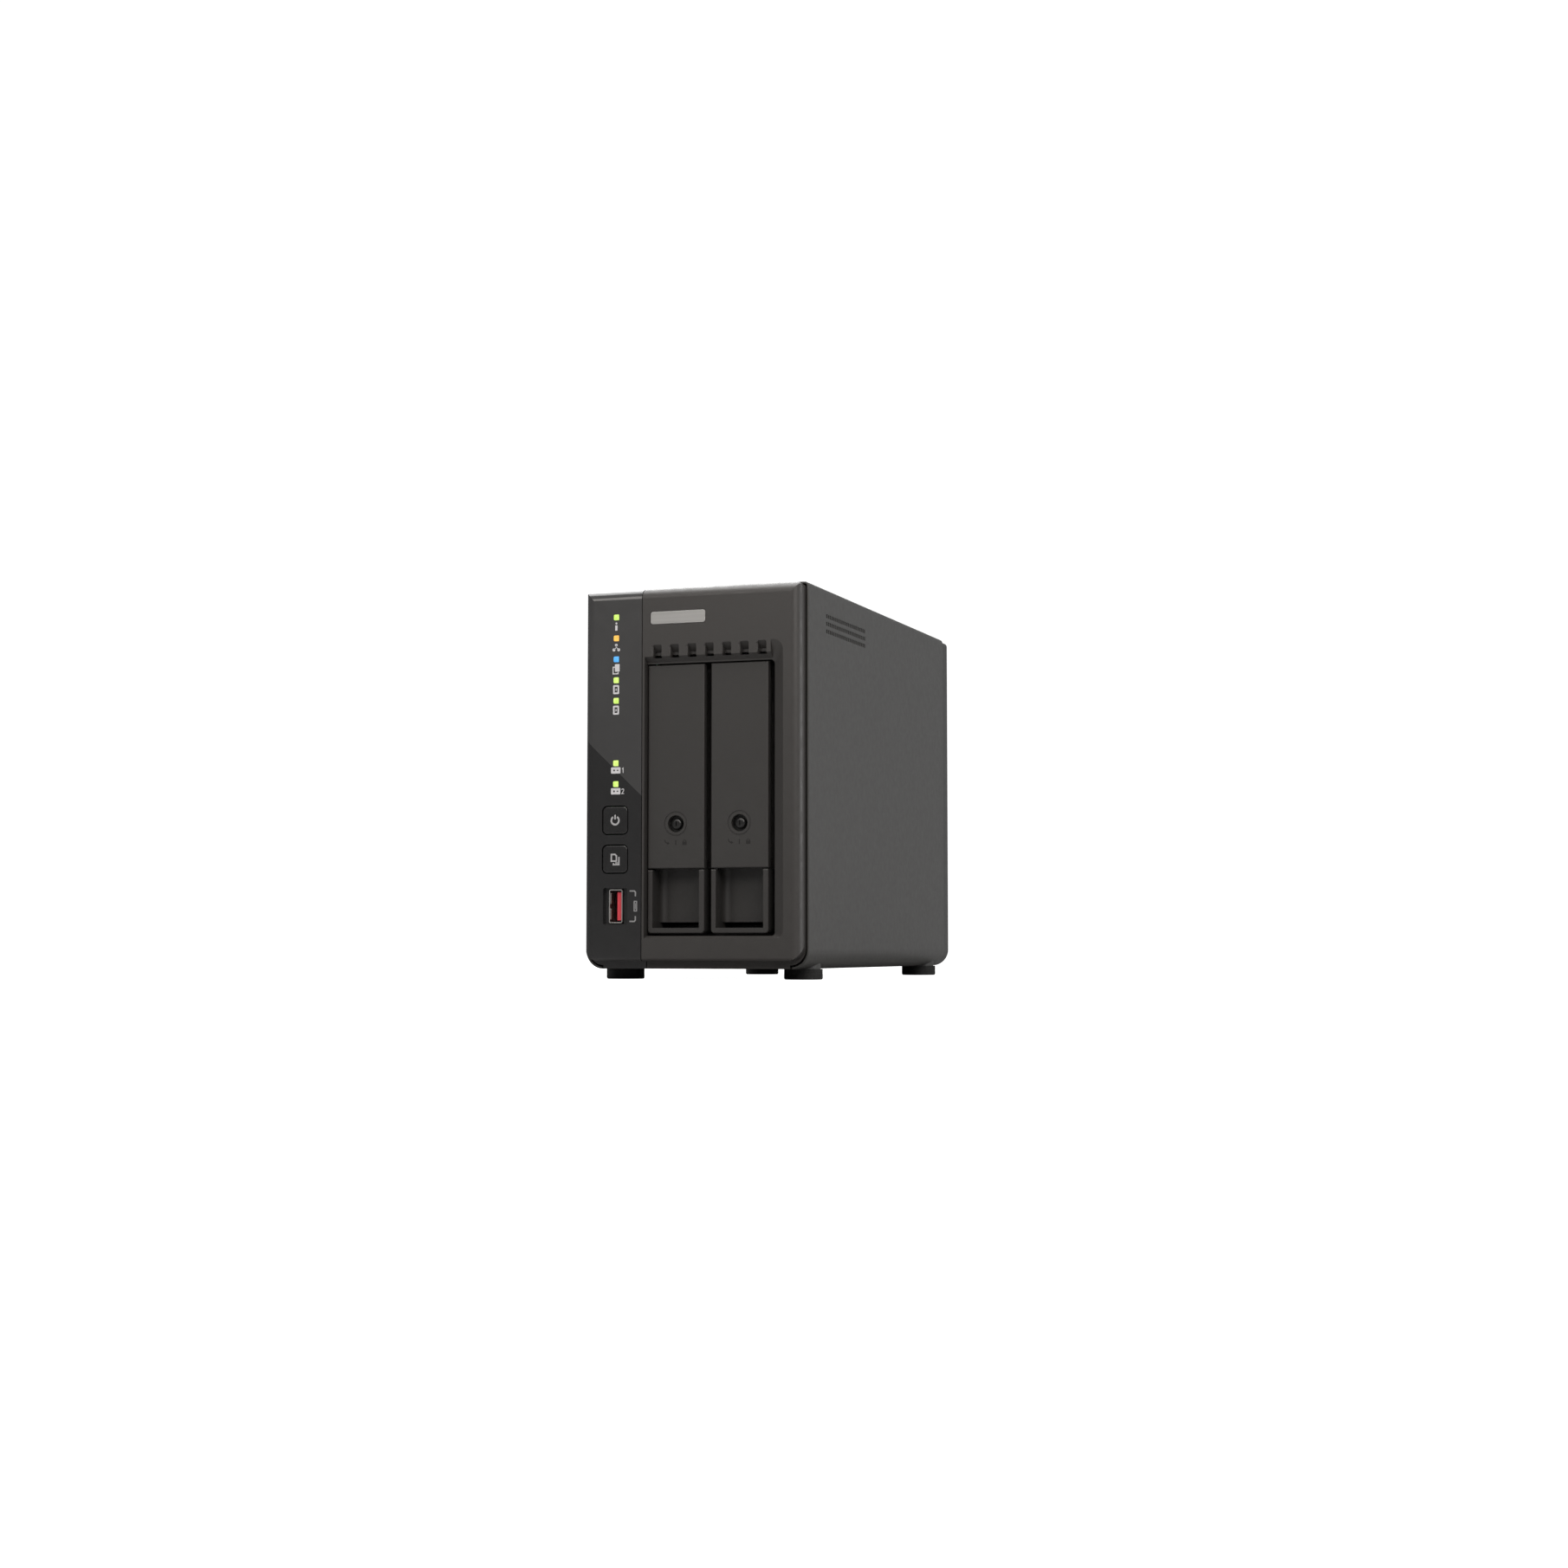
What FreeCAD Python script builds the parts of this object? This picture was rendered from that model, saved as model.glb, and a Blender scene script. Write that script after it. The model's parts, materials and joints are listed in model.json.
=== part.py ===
"""Two-bay desktop network storage box, built as separate pieces (millimetres, +Z up).

The frame's origin is at the bottom centre of the whole box, on the surface that it stands on.
The front faces -Y and +X is on the right, seen from the front.
"""
import FreeCAD, Part
import math
import os

from FreeCAD import Vector

# ---- driving dimensions: the whole box ----
WIDTH = 102.0
DEPTH = 225.0
HEIGHT = 168.5
FOOT_HEIGHT = 4.5
SHEET = 1.0              # steel sheet of the cover and the cage
PAN_SHEET = 1.2          # heavier sheet of the base pan
GAP = 0.35               # seam between pieces that only meet
RUNNING = 0.05           # radial clearance of a pin or barrel that turns
TINY = 1e-6              # two coordinates closer than this are the same

HALF = WIDTH / 2
FRONT = -DEPTH / 2
BACK = DEPTH / 2
FLOOR = FOOT_HEIGHT      # underside of the box above its feet

# ---- steel cover and pan ----
COVER_FRONT = FRONT + 6.5
COVER_BACK = BACK - 9.5
COVER_EDGE = 0.4         # rounding of the cover's cut front edge
TOP_BEND = 2.0
BOTTOM_ROLL = 8.0        # the side sheets roll under the box
PAN_HALF = HALF - BOTTOM_ROLL
PAN_LIP = 9.0
SIDE_VENT = {"first_y": -81.8, "pitch": 2.35, "columns": 24, "wide": 1.55, "tall": 1.7}
SIDE_VENT_ZS = (156.6, 153.3, 150.0)

# ---- feet ----
FOOT_RADIUS = 8.3
FOOT_X = 41.3
FOOT_YS = (-85.0, 91.0)
BOSS_RADIUS = 7.4

# ---- front: head stands ahead of the cover, neck tucks inside it ----
HEAD_HALF = 49.6
HEAD_BOTTOM = 8.0
HEAD_TOP = 168.0
HEAD_DEPTH = 6.2
NECK_BOTTOM = 6.1
NECK_TOP = 167.2
NECK_BACK = FRONT + 13.0
NECK_CORNERS = (7.0, 1.5)
CHIN_BOTTOM = FLOOR + 0.2   # the neck's lower lip, ahead of the base pan
FACE = 2.8               # thickness of the front face
WALL = 1.6
EDGE_TOP = 4.4           # roundings of the front face's four edges
EDGE_SIDE = 4.4
EDGE_BOTTOM = 1.2
HEAD_CORNERS = (6.5, 3.0)   # lower and upper corners, seen from the front
PANEL_RIGHT = -22.7      # seam between the glossy panel and the bezel
STRIP_LEFT = PANEL_RIGHT + GAP

# ---- bay opening in the bezel ----
BAY_LEFT = STRIP_LEFT + 1.0
BAY_RIGHT = 37.1
BAY_BOTTOM = 18.6
BAY_TOP = 135.3
BAY_RIM_RIGHT = 41.7     # outer edge of the sloped surround
BAY_RIM_BOTTOM = 17.5
BAY_RIM_TOP = 143.6
FIN_BOTTOM = 138.3       # lower edge of the face between the vent scoops
FIN_RIGHT = 36.2
FIN_LIP = 135.8          # the underside of that face slopes back and down to here
FIN_LIP_BACK = FRONT + 2.7
FIN_BACK = FRONT + 4.4
SLEEVE_TOP = 139.0       # clears the swing of the tray handles
SLEEVE_WALL = 1.2
NOTCH = {"count": 7, "first_x": -15.5, "pitch": 7.96, "width": 4.0, "top": 143.4, "deep": 3.2, "lead": 0.7}
NOTCH_SLIT = (137.6, SLEEVE_TOP)

# ---- trays ----
TRAY_PITCH = 29.0
TRAY_XS = (-7.9, -7.9 + TRAY_PITCH)
TRAY_HALF = 13.0
TRAY_FACE = FRONT + 3.0
TRAY_BOTTOM = 19.6
TRAY_TOP = 134.8
HANDLE_BOTTOM = 47.3     # the handle covers the tray's front above this
HANDLE_THICK = 3.0
GRIP_ARM = 2.3           # side arms of the U-shaped grip below the handle
GRIP_BAR = 2.4
GRIP_CORNER = 1.6
GRIP_SLOT = 2.5          # height of the air slot below the finger recess
RECESS_BACK = FRONT + 13.4
RECESS_SCOOP = 3.0       # rounding between the recess's left wall and its back
BULKHEAD_FRONT = FRONT + 12.2
BULKHEAD_BACK = FRONT + 15.0
FRAME_BOTTOM = 21.2
FRAME_TOP = 133.2
FRAME_BACK = 46.0
RUNNER_FRONT = FRONT + 26.0   # the lower runner starts well behind the finger recess
PLATE = 1.2              # side plate that the drive is screwed to
PIVOT_Y = FRONT + 9.0
PIVOT_Z = 131.0
PIN_RADIUS = 1.0
PIN_INSET = 3.0          # the hinge pin stops this far inside the tray's sides
KNUCKLE_RADIUS = 2.2
KNUCKLE_HALF = 8.0
EAR_RADIUS = 2.0
LOCK_Z = 66.4
LOCK_RADIUS = 3.6
LOCK_RING = 5.35
LOCK_PLUG = 2.5

# ---- 3.5 inch drives, standing on edge ----
DRIVE_THICK = 26.1
DRIVE_TALL = 101.6
DRIVE_LONG = 147.0
DRIVE_BOTTOM = 26.4
DRIVE_FRONT = FRONT + 16.0
DRIVE_BACK = DRIVE_FRONT + DRIVE_LONG
DRIVE_SCREW_YS = (-62.0, 40.0)
DRIVE_SCREW_ZS = (DRIVE_BOTTOM + 3.2, DRIVE_BOTTOM + DRIVE_TALL - 3.2)

# ---- cage that the trays run in ----
CAGE_LEFT = -21.6
CAGE_RIGHT = 37.0
CAGE_FLOOR = 17.6
CAGE_TOP = 137.4
CAGE_FRONT = -97.0
CAGE_BACK = 58.5
GUIDE_GAP = 0.4          # between a tray's runner and its guide
GUIDE_RIB = 2.0          # height of the guides' ribs beside the runners

# ---- boards ----
BOARD = 1.6
MAIN_X = -46.8           # outer face of the upright main board
MAIN_FACE = MAIN_X + BOARD
MAIN_Y = (-84.0, 106.0)
MAIN_Z = (16.0, 150.0)
FRONT_BOARD_Y = FRONT + 15.0
STANDOFFS = ((-76.0, 24.0), (-76.0, 140.0), (52.0, 24.0), (52.0, 140.0))
PROCESSOR = {"y": 14.0, "z": 86.0, "wide": 22.0, "thick": 1.8}
CAPACITORS = ((44.0, 24.0), (36.0, 24.0), (44.0, 33.0), (80.0, 112.0), (80.0, 122.0), (-60.0, 122.0),
              (-60.0, 132.0))
MEMORY_CHIP_ZS = (36.0, 49.0, 69.0, 82.0)

# ---- control panel ----
LIGHT_X = -34.6
LIGHT_ZS = {"green": (156.0, 128.7, 119.8, 92.8, 83.8), "orange": (146.9,), "blue": (137.8,)}
LIGHT_SIZE = 2.4
BUTTON_X = -34.8
BUTTON_ZS = {"power": 68.2, "copy": 51.5}
BUTTON_HALVES = (5.7, 5.85)     # across and up
BUTTON_CORNER = 2.0
BUTTON_GAP = 0.45
BUTTON_REACH = 9.2              # from the front face to the stem's end
USB_X = -34.6
USB_Z = 31.3

# ---- rear ----
PLATE_BACK = 2.0         # thickness of the rear panel
PLATE_INNER = BACK - PLATE_BACK
RIM_HALF = HALF - 0.2
RIM_TOP = HEIGHT - 0.9
FAN_SIZE = 70.0
FAN_DEEP = 25.0
FAN_X = 9.0
FAN_Z = 88.0
FAN_FRONT = PLATE_INNER - FAN_DEEP
FAN_BORE = 33.2
FAN_BOLT = 30.0          # half the distance between the fan's screws
BLADE_TIP = 32.2
HUB_RADIUS = 14.0
PORT_FACE = BACK - 0.2
LAN_ZS = (47.0, 64.5)
USB_REAR_ZS = (84.0, 101.5)
USB_REAR_XS = (-41.0, -33.4)
HDMI_X = -41.4
HDMI_Z = 119.5
DC_X = -38.6
DC_Z = 24.0
RESET_X = -42.4
RESET_Z = 34.2
SLOT_X = -35.0
SLOT_Z = 154.0
COVER_SCREWS = ((-44.0, 160.0), (44.0, 160.0), (-37.5, 11.6), (37.5, 11.6))
HEAD_THICK = 1.6
SCREW_HEAD = 2.8
SCREW_SHANK = 1.5
TAB_HALF = 5.0           # sheet tabs that the cover screws bite into
TAB_THICK = 1.2


# ---------------------------------------------------------------- shapes
def box(x0, x1, y0, y1, z0, z1):
    return Part.makeBox(x1 - x0, y1 - y0, z1 - z0, Vector(x0, y0, z0))


def rod_x(x0, x1, y, z, radius):
    return Part.makeCylinder(radius, x1 - x0, Vector(x0, y, z), Vector(1, 0, 0))


def rod_y(x, y0, y1, z, radius):
    return Part.makeCylinder(radius, y1 - y0, Vector(x, y0, z), Vector(0, 1, 0))


def rod_z(x, y, z0, z1, radius):
    return Part.makeCylinder(radius, z1 - z0, Vector(x, y, z0), Vector(0, 0, 1))


def fused(first, *others):
    return first.fuse(list(others)).removeSplitter()


def rounded_wire(x0, x1, z0, z1, y, low_radius, high_radius):
    """A rectangle in the plane of y, with one radius for its lower corners and one for its upper."""
    low, high = low_radius, high_radius
    corners = (
        (Vector(x1 - low, y, z0 + low), low, -90),
        (Vector(x1 - high, y, z1 - high), high, 0),
        (Vector(x0 + high, y, z1 - high), high, 90),
        (Vector(x0 + low, y, z0 + low), low, 180),
    )
    arcs = []
    for centre, radius, start in corners:
        angles = [math.radians(start + step) for step in (0, 45, 90)]
        points = [centre + Vector(math.cos(a), 0, math.sin(a)) * radius for a in angles]
        arcs.append(Part.Arc(*points).toShape())
    edges = []
    for arc, following in zip(arcs, arcs[1:] + arcs[:1]):
        edges.append(arc)
        edges.append(Part.makeLine(arc.lastVertex().Point, following.firstVertex().Point))
    return Part.Wire(Part.__sortEdges__(edges))


def rounded_prism(x0, x1, z0, z1, y0, y1, low_radius, high_radius=None):
    wire = rounded_wire(x0, x1, z0, z1, y0, low_radius, high_radius or low_radius)
    return Part.Face(wire).extrude(Vector(0, y1 - y0, 0))


def profile_along_x(points, x0, x1):
    """A solid whose side view has the given (y, z) corners."""
    wire = Part.makePolygon([Vector(x0, y, z) for y, z in points + points[:1]])
    return Part.Face(wire).extrude(Vector(x1 - x0, 0, 0))


def edges_on_plane_y(shape, y):
    return [edge for edge in shape.Edges
            if all(abs(vertex.Point.y - y) < TINY for vertex in edge.Vertexes)]


def softened(shape, y, radius):
    """Rounds every edge that lies in the plane of y."""
    return shape.makeFillet(radius, edges_on_plane_y(shape, y))


def pan_screw_y(x, z, shank_start):
    """A pan-head screw driven forwards from the rear panel, its head flush with the back."""
    head = rod_y(x, BACK - HEAD_THICK, BACK, z, SCREW_HEAD)
    recess = rod_y(x, BACK - 0.7, BACK, z, SCREW_HEAD / 2)
    return head.fuse(rod_y(x, shank_start, BACK - HEAD_THICK, z, SCREW_SHANK)).cut(recess)


# ---------------------------------------------------------------- steel shell
def side_vents():
    half_wide, half_tall = SIDE_VENT["wide"] / 2, SIDE_VENT["tall"] / 2
    holes = []
    for column in range(SIDE_VENT["columns"]):
        y = SIDE_VENT["first_y"] + column * SIDE_VENT["pitch"]
        for z in SIDE_VENT_ZS:
            low, high = z - half_tall, z + half_tall
            holes.append(box(-HALF - 1, HALF + 1, y - half_wide, y + half_wide, low, high))
    return Part.makeCompound(holes)


def foot_seats(rolled, mouth):
    """Flat seats for the feet: discs at floor level that fill the hollow under the rolled edges."""
    seats = []
    for side in (-1, 1):
        for y in FOOT_YS:
            disc = rod_z(side * FOOT_X, y, FLOOR, FLOOR + 2.5, BOSS_RADIUS)
            seats.append(disc.cut(rolled).cut(mouth).common(box(-HALF, HALF, y - 9, y + 9, FLOOR, HEIGHT)))
    return seats


def screw_tabs(places, low, high):
    """Upright tabs of sheet at the rear that the cover screws bite into."""
    tabs = []
    for x, z in places:
        tab = box(x - TAB_HALF, x + TAB_HALF, COVER_BACK - TAB_THICK, COVER_BACK, low, high)
        tabs.append(tab.cut(rod_y(x, COVER_BACK - 2, COVER_BACK + 1, z, SCREW_SHANK)))
    return tabs


def top_cover():
    """Top and sides in one bent sheet, with seats for the feet pressed into its rolled lower edges."""
    outer = rounded_prism(-HALF, HALF, FLOOR, HEIGHT, COVER_FRONT, COVER_BACK, BOTTOM_ROLL, TOP_BEND)
    inner = rounded_prism(-HALF + SHEET, HALF - SHEET, FLOOR + SHEET, HEIGHT - SHEET, COVER_FRONT - 1,
                          COVER_BACK + 1, BOTTOM_ROLL - SHEET, TOP_BEND - SHEET)
    mouth = box(-PAN_HALF - GAP, PAN_HALF + GAP, COVER_FRONT - 1, COVER_BACK + 1, FLOOR - 1, FLOOR + 4)
    cover = outer.cut(inner).cut(mouth)
    screw_z = COVER_SCREWS[0][1]
    tabs = [tab.common(outer) for tab in screw_tabs(COVER_SCREWS[:2], screw_z - TAB_HALF, HEIGHT - SHEET)]
    cover = fused(cover, *foot_seats(outer, mouth), *tabs)
    return softened(cover, COVER_FRONT, COVER_EDGE).cut(side_vents())


def base_pan():
    """Floor of the box, with turned-up sides, air slots under the drives and rear screw tabs."""
    front, back = NECK_BACK + GAP, COVER_BACK
    floor = box(-PAN_HALF, PAN_HALF, front, back, FLOOR, FLOOR + PAN_SHEET)
    left = box(-PAN_HALF, -PAN_HALF + PAN_SHEET, front, back, FLOOR, FLOOR + PAN_LIP)
    right = box(PAN_HALF - PAN_SHEET, PAN_HALF, front, back, FLOOR, FLOOR + PAN_LIP)
    tabs = screw_tabs(COVER_SCREWS[2:], FLOOR, COVER_SCREWS[2][1] + TAB_HALF)
    slots = [box(x - 1.2, x + 1.2, y, y + 26, FLOOR - 1, FLOOR + 2)
             for x in range(-20, 37, 7) for y in (-55, 0)]
    return fused(floor, left, right, *tabs).cut(Part.makeCompound(slots)).cut(cage_screw_shanks())


def rubber_feet():
    feet = []
    for side in (-1, 1):
        for y in FOOT_YS:
            foot = rod_z(side * FOOT_X, y, 0, FOOT_HEIGHT, FOOT_RADIUS)
            lower_edge = [edge for edge in foot.Edges if edge.BoundBox.ZMax < 0.01]
            foot = foot.makeChamfer(0.5, lower_edge)
            feet.append(foot.cut(rod_z(side * FOOT_X, y, -1, 1.0, FOOT_RADIUS - 2.4)))
    return Part.makeCompound(feet)


# ---------------------------------------------------------------- front
def rounded_profile(low, high, low_radius, high_radius):
    """Plan of a block with its two front corners rounded: from low to high across, in the plane of z = 0."""
    back = FRONT + HEAD_DEPTH + 20
    low_centre = Vector(low + low_radius, FRONT + low_radius, 0)
    high_centre = Vector(high - high_radius, FRONT + high_radius, 0)
    arcs = []
    for centre, radius, start in ((low_centre, low_radius, 180), (high_centre, high_radius, 270)):
        angles = [math.radians(start + step) for step in (0, 45, 90)]
        points = [centre + Vector(math.cos(a), math.sin(a), 0) * radius for a in angles]
        arcs.append(Part.Arc(*points).toShape())
    low_arc, high_arc = arcs
    lines = (
        Part.makeLine(low_arc.lastVertex().Point, high_arc.firstVertex().Point),
        Part.makeLine(high_arc.lastVertex().Point, Vector(high, back, 0)),
        Part.makeLine(Vector(high, back, 0), Vector(low, back, 0)),
        Part.makeLine(Vector(low, back, 0), low_arc.firstVertex().Point),
    )
    return Part.Face(Part.Wire(Part.__sortEdges__([low_arc, high_arc, *lines])))


def front_block():
    """Outer shape of the whole front: rounded head ahead of the cover, the neck inside it, and its chin."""
    head_back = FRONT + HEAD_DEPTH
    head = rounded_prism(-HEAD_HALF, HEAD_HALF, HEAD_BOTTOM, HEAD_TOP, FRONT, head_back, *HEAD_CORNERS)
    plan = rounded_profile(-HEAD_HALF, HEAD_HALF, EDGE_SIDE, EDGE_SIDE).extrude(Vector(0, 0, HEIGHT))
    side = rounded_profile(HEAD_BOTTOM, HEAD_TOP, EDGE_BOTTOM, EDGE_TOP)
    side.rotate(Vector(0, 0, 0), Vector(0, 1, 0), -90)
    side = side.extrude(Vector(WIDTH, 0, 0))
    side.translate(Vector(-HALF, 0, 0))
    neck = rounded_prism(-HEAD_HALF, HEAD_HALF, NECK_BOTTOM, NECK_TOP, head_back, NECK_BACK, *NECK_CORNERS)
    chin_half = PAN_HALF - GAP
    chin = box(-chin_half, chin_half, head_back, NECK_BACK, CHIN_BOTTOM, NECK_BOTTOM + WALL)
    return fused(head.common(plan).common(side), neck, chin)


def front_hollow():
    low_corner, high_corner = (radius - WALL for radius in HEAD_CORNERS)
    return rounded_prism(-HEAD_HALF + WALL, HEAD_HALF - WALL, HEAD_BOTTOM + WALL, HEAD_TOP - WALL,
                         FRONT + FACE, NECK_BACK + 1, low_corner, high_corner)


def bay_mouth():
    """The bay's sloped surround; on the left it runs out square, beside the control panel."""
    beyond = BAY_LEFT - 10
    outer = rounded_wire(beyond, BAY_RIM_RIGHT, BAY_RIM_BOTTOM, BAY_RIM_TOP, FRONT, 3.0, 4.5)
    inner = rounded_wire(beyond, BAY_RIGHT, BAY_BOTTOM, BAY_TOP, FRONT + FACE, 1.5, 2.0)
    slope = Part.makeLoft([outer, inner], True, True)
    ahead = Part.Face(outer).extrude(Vector(0, -1, 0))
    return slope.fuse(ahead).common(box(BAY_LEFT, HALF, FRONT - 1, FRONT + FACE, 0, HEIGHT))


def bay_throat():
    """The straight passage behind the surround that a tray slides through."""
    return box(BAY_LEFT, BAY_RIGHT, FRONT + FACE - 0.01, NECK_BACK + 1, BAY_BOTTOM - 0.8, SLEEVE_TOP)


def vent_fins():
    """The face above the bays that the air scoops are cut in, with an underside that slopes back and down."""
    top = BAY_RIM_TOP + 0.5
    outline = [(FRONT, FIN_BOTTOM), (FIN_LIP_BACK, FIN_LIP), (FIN_LIP_BACK, SLEEVE_TOP),
               (FIN_BACK, SLEEVE_TOP), (FIN_BACK, top), (FRONT, top)]
    return profile_along_x(outline, BAY_LEFT - 0.5, FIN_RIGHT)


def vent_notches():
    """Air scoops above the bays: each slants in from its top, and has a slit at its foot."""
    half, back = NOTCH["width"] / 2, FRONT + NOTCH["deep"]
    slit_low, slit_high = NOTCH_SLIT
    wedge = [(FRONT - 1, NOTCH["top"]), (FRONT, NOTCH["top"]), (back, NOTCH["top"] - NOTCH["deep"]),
             (back, slit_high), (FRONT - 1, slit_high)]
    cuts = []
    for index in range(NOTCH["count"]):
        x = NOTCH["first_x"] + index * NOTCH["pitch"]
        left, right = x - half, x + half
        rounded = rounded_prism(left, right, FIN_LIP - 2, NOTCH["top"], FRONT - 1, back + 1, 0.8)
        cuts.append(profile_along_x(wedge, left, right).common(rounded))
        corners = [Vector(left - NOTCH["lead"], FRONT, slit_high), Vector(left + 0.1, FRONT, slit_high),
                   Vector(left + 0.1, FRONT + NOTCH["lead"], slit_high)]
        lead = Part.Face(Part.makePolygon(corners + corners[:1]))
        cuts.append(lead.extrude(Vector(0, 0, NOTCH["top"] - 0.8 - slit_high)))
        cuts.append(box(left, right, FRONT - 1, FIN_LIP_BACK + 1, slit_low, slit_high))
    return Part.makeCompound(cuts)


def bezel_sleeve():
    """Walls behind the face that close the gap between the bay mouth and the cage."""
    y0, y1 = FRONT + FACE, NECK_BACK
    outside = box(BAY_LEFT - 1.0, BAY_RIGHT + SLEEVE_WALL, y0, y1, BAY_BOTTOM - 2.0, SLEEVE_TOP + SLEEVE_WALL)
    return outside.cut(box(BAY_LEFT, BAY_RIGHT, y0 - 1, y1 + 1, BAY_BOTTOM - 0.8, SLEEVE_TOP))


def front_bezel():
    shell = front_block().cut(front_hollow())
    keep = box(STRIP_LEFT, HALF, FRONT - 1, NECK_BACK + 1, 0, HEIGHT)
    bezel = shell.common(keep).fuse(bezel_sleeve()).cut(bay_mouth()).cut(bay_throat())
    return bezel.fuse(vent_fins()).removeSplitter().cut(vent_notches()).cut(badge_shape(0.1))


def badge_shape(margin):
    """Plain rounded plate, let into the upper left of the bezel."""
    return rounded_prism(-18.7 - margin, 6.5 + margin, 152.2 - margin, 157.7 + margin,
                         FRONT, FRONT + 0.6, 1.2)


def name_badge():
    return softened(badge_shape(0.0), FRONT, 0.2)


def upright_block(x, z, half_x, half_z, y0, y1, corner):
    """A prism along Y round a centre on the front, with rounded corners."""
    return rounded_prism(x - half_x, x + half_x, z - half_z, z + half_z, y0, y1, corner)


def control_panel():
    """Glossy strip beside the bays, with windows for the lights, two buttons and a USB port."""
    block = front_block().common(box(-HALF, PANEL_RIGHT, FRONT - 1, NECK_BACK + 1, 0, HEIGHT))
    hollow = front_hollow().common(box(-HALF, PANEL_RIGHT - 1.2, FRONT, NECK_BACK + 2, 0, HEIGHT))
    panel = block.cut(hollow)
    y0, y1 = FRONT - 1, FRONT + FACE + 1
    half = LIGHT_SIZE / 2 + 0.05
    for zs in LIGHT_ZS.values():
        for z in zs:
            panel = panel.cut(box(LIGHT_X - half, LIGHT_X + half, y0, y1, z - half, z + half))
    half_x, half_z = (half + BUTTON_GAP for half in BUTTON_HALVES)
    for z in BUTTON_ZS.values():
        panel = panel.cut(upright_block(BUTTON_X, z, half_x, half_z, y0, y1, BUTTON_CORNER + BUTTON_GAP))
    pocket = rounded_prism(USB_X - 5.7, USB_X + 5.5, USB_Z - 7.8, USB_Z + 7.8, y0, FRONT + 2.0, 0.8)
    port = box(USB_X - 3.3, USB_X + 3.3, FRONT, y1, USB_Z - 7.4, USB_Z + 7.4)
    return panel.cut(pocket).cut(port)


def light_pipes(colour):
    """Clear bars that carry the light of the front board's lamps to the panel's face."""
    half = LIGHT_SIZE / 2
    pipes = [upright_block(LIGHT_X, z, half, half, FRONT, FRONT_BOARD_Y, 0.5) for z in LIGHT_ZS[colour]]
    return Part.makeCompound(pipes)


def push_button(z):
    cap = softened(upright_block(BUTTON_X, z, *BUTTON_HALVES, FRONT, FRONT + 4.0, BUTTON_CORNER), FRONT, 0.4)
    stem = box(BUTTON_X - 2, BUTTON_X + 2, FRONT + 4.0, FRONT + BUTTON_REACH, z - 2, z + 2)
    return fused(cap, stem)


def front_usb_shell():
    y0, y1 = FRONT + 0.6, FRONT_BOARD_Y
    outer = rounded_prism(USB_X - 3.1, USB_X + 3.1, USB_Z - 7.2, USB_Z + 7.2, y0, y1, 0.8)
    inner = rounded_prism(USB_X - 2.7, USB_X + 2.7, USB_Z - 6.8, USB_Z + 6.8, y0 - 1, y1 - 1.0, 0.4)
    return outer.cut(inner)


def front_usb_tongue():
    return box(USB_X + 0.4, USB_X + 2.3, FRONT + 1.6, FRONT_BOARD_Y - 1.0, USB_Z - 6.0, USB_Z + 6.0)


def front_board():
    return box(-46.0, -25.0, FRONT_BOARD_Y, FRONT_BOARD_Y + BOARD, 16.0, 160.0)


def front_switches():
    switches = []
    for z in BUTTON_ZS.values():
        body = box(BUTTON_X - 3, BUTTON_X + 3, FRONT + 11.5, FRONT_BOARD_Y, z - 3, z + 3)
        switches.append(fused(body, rod_y(BUTTON_X, FRONT + 10.6, FRONT + 11.5, z, 1.75)))
    return Part.makeCompound(switches)


def ribbon_cable():
    """Flat cable from the front board to the main board, lying along the main board."""
    return box(-43.4, -42.6, FRONT_BOARD_Y + BOARD + 5.0, MAIN_Y[0] + 8.0, 96.0, 112.0)


def ribbon_headers():
    y_front = FRONT_BOARD_Y + BOARD
    at_front = box(-45.2, -40.8, y_front, y_front + 5.0, 94.0, 114.0)
    at_main = box(MAIN_FACE, -40.6, MAIN_Y[0] + 8.0, MAIN_Y[0] + 14.0, 94.0, 114.0)
    return Part.makeCompound([at_front, at_main])


# ---------------------------------------------------------------- drive cage
def drive_cage():
    """Sheet-steel box open at both ends, on two walls that stand on the pan."""
    foot = FLOOR + PAN_SHEET
    left = box(CAGE_LEFT - SHEET, CAGE_LEFT, CAGE_FRONT, CAGE_BACK, foot, CAGE_TOP + SHEET)
    right = box(CAGE_RIGHT, CAGE_RIGHT + SHEET, CAGE_FRONT, CAGE_BACK, foot, CAGE_TOP + SHEET)
    roof = box(CAGE_LEFT, CAGE_RIGHT, CAGE_FRONT, CAGE_BACK, CAGE_TOP, CAGE_TOP + SHEET)
    deck = box(CAGE_LEFT, CAGE_RIGHT, CAGE_FRONT, CAGE_BACK, CAGE_FLOOR - SHEET, CAGE_FLOOR)
    left_foot = box(CAGE_LEFT, CAGE_LEFT + 9, CAGE_FRONT, CAGE_BACK, foot, foot + SHEET)
    right_foot = box(CAGE_RIGHT - 9, CAGE_RIGHT, CAGE_FRONT, CAGE_BACK, foot, foot + SHEET)
    cage = fused(left, right, roof, deck, left_foot, right_foot)
    windows = [box(CAGE_LEFT - 5, CAGE_RIGHT + 5, y, y + 30, z, z + 18)
               for y in (-84, -44, -4) for z in (36, 68, 100)]
    roof_slots = [box(x, x + 3, y, y + 34, CAGE_TOP - 2, CAGE_TOP + 3)
                  for x in range(-16, 33, 8) for y in (-86, -28)]
    return cage.cut(Part.makeCompound(windows + roof_slots)).cut(cage_screw_shanks())


def cage_screw_places():
    return [(x, y) for x in (CAGE_LEFT + 5, CAGE_RIGHT - 5) for y in (-78.0, 42.0)]


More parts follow.
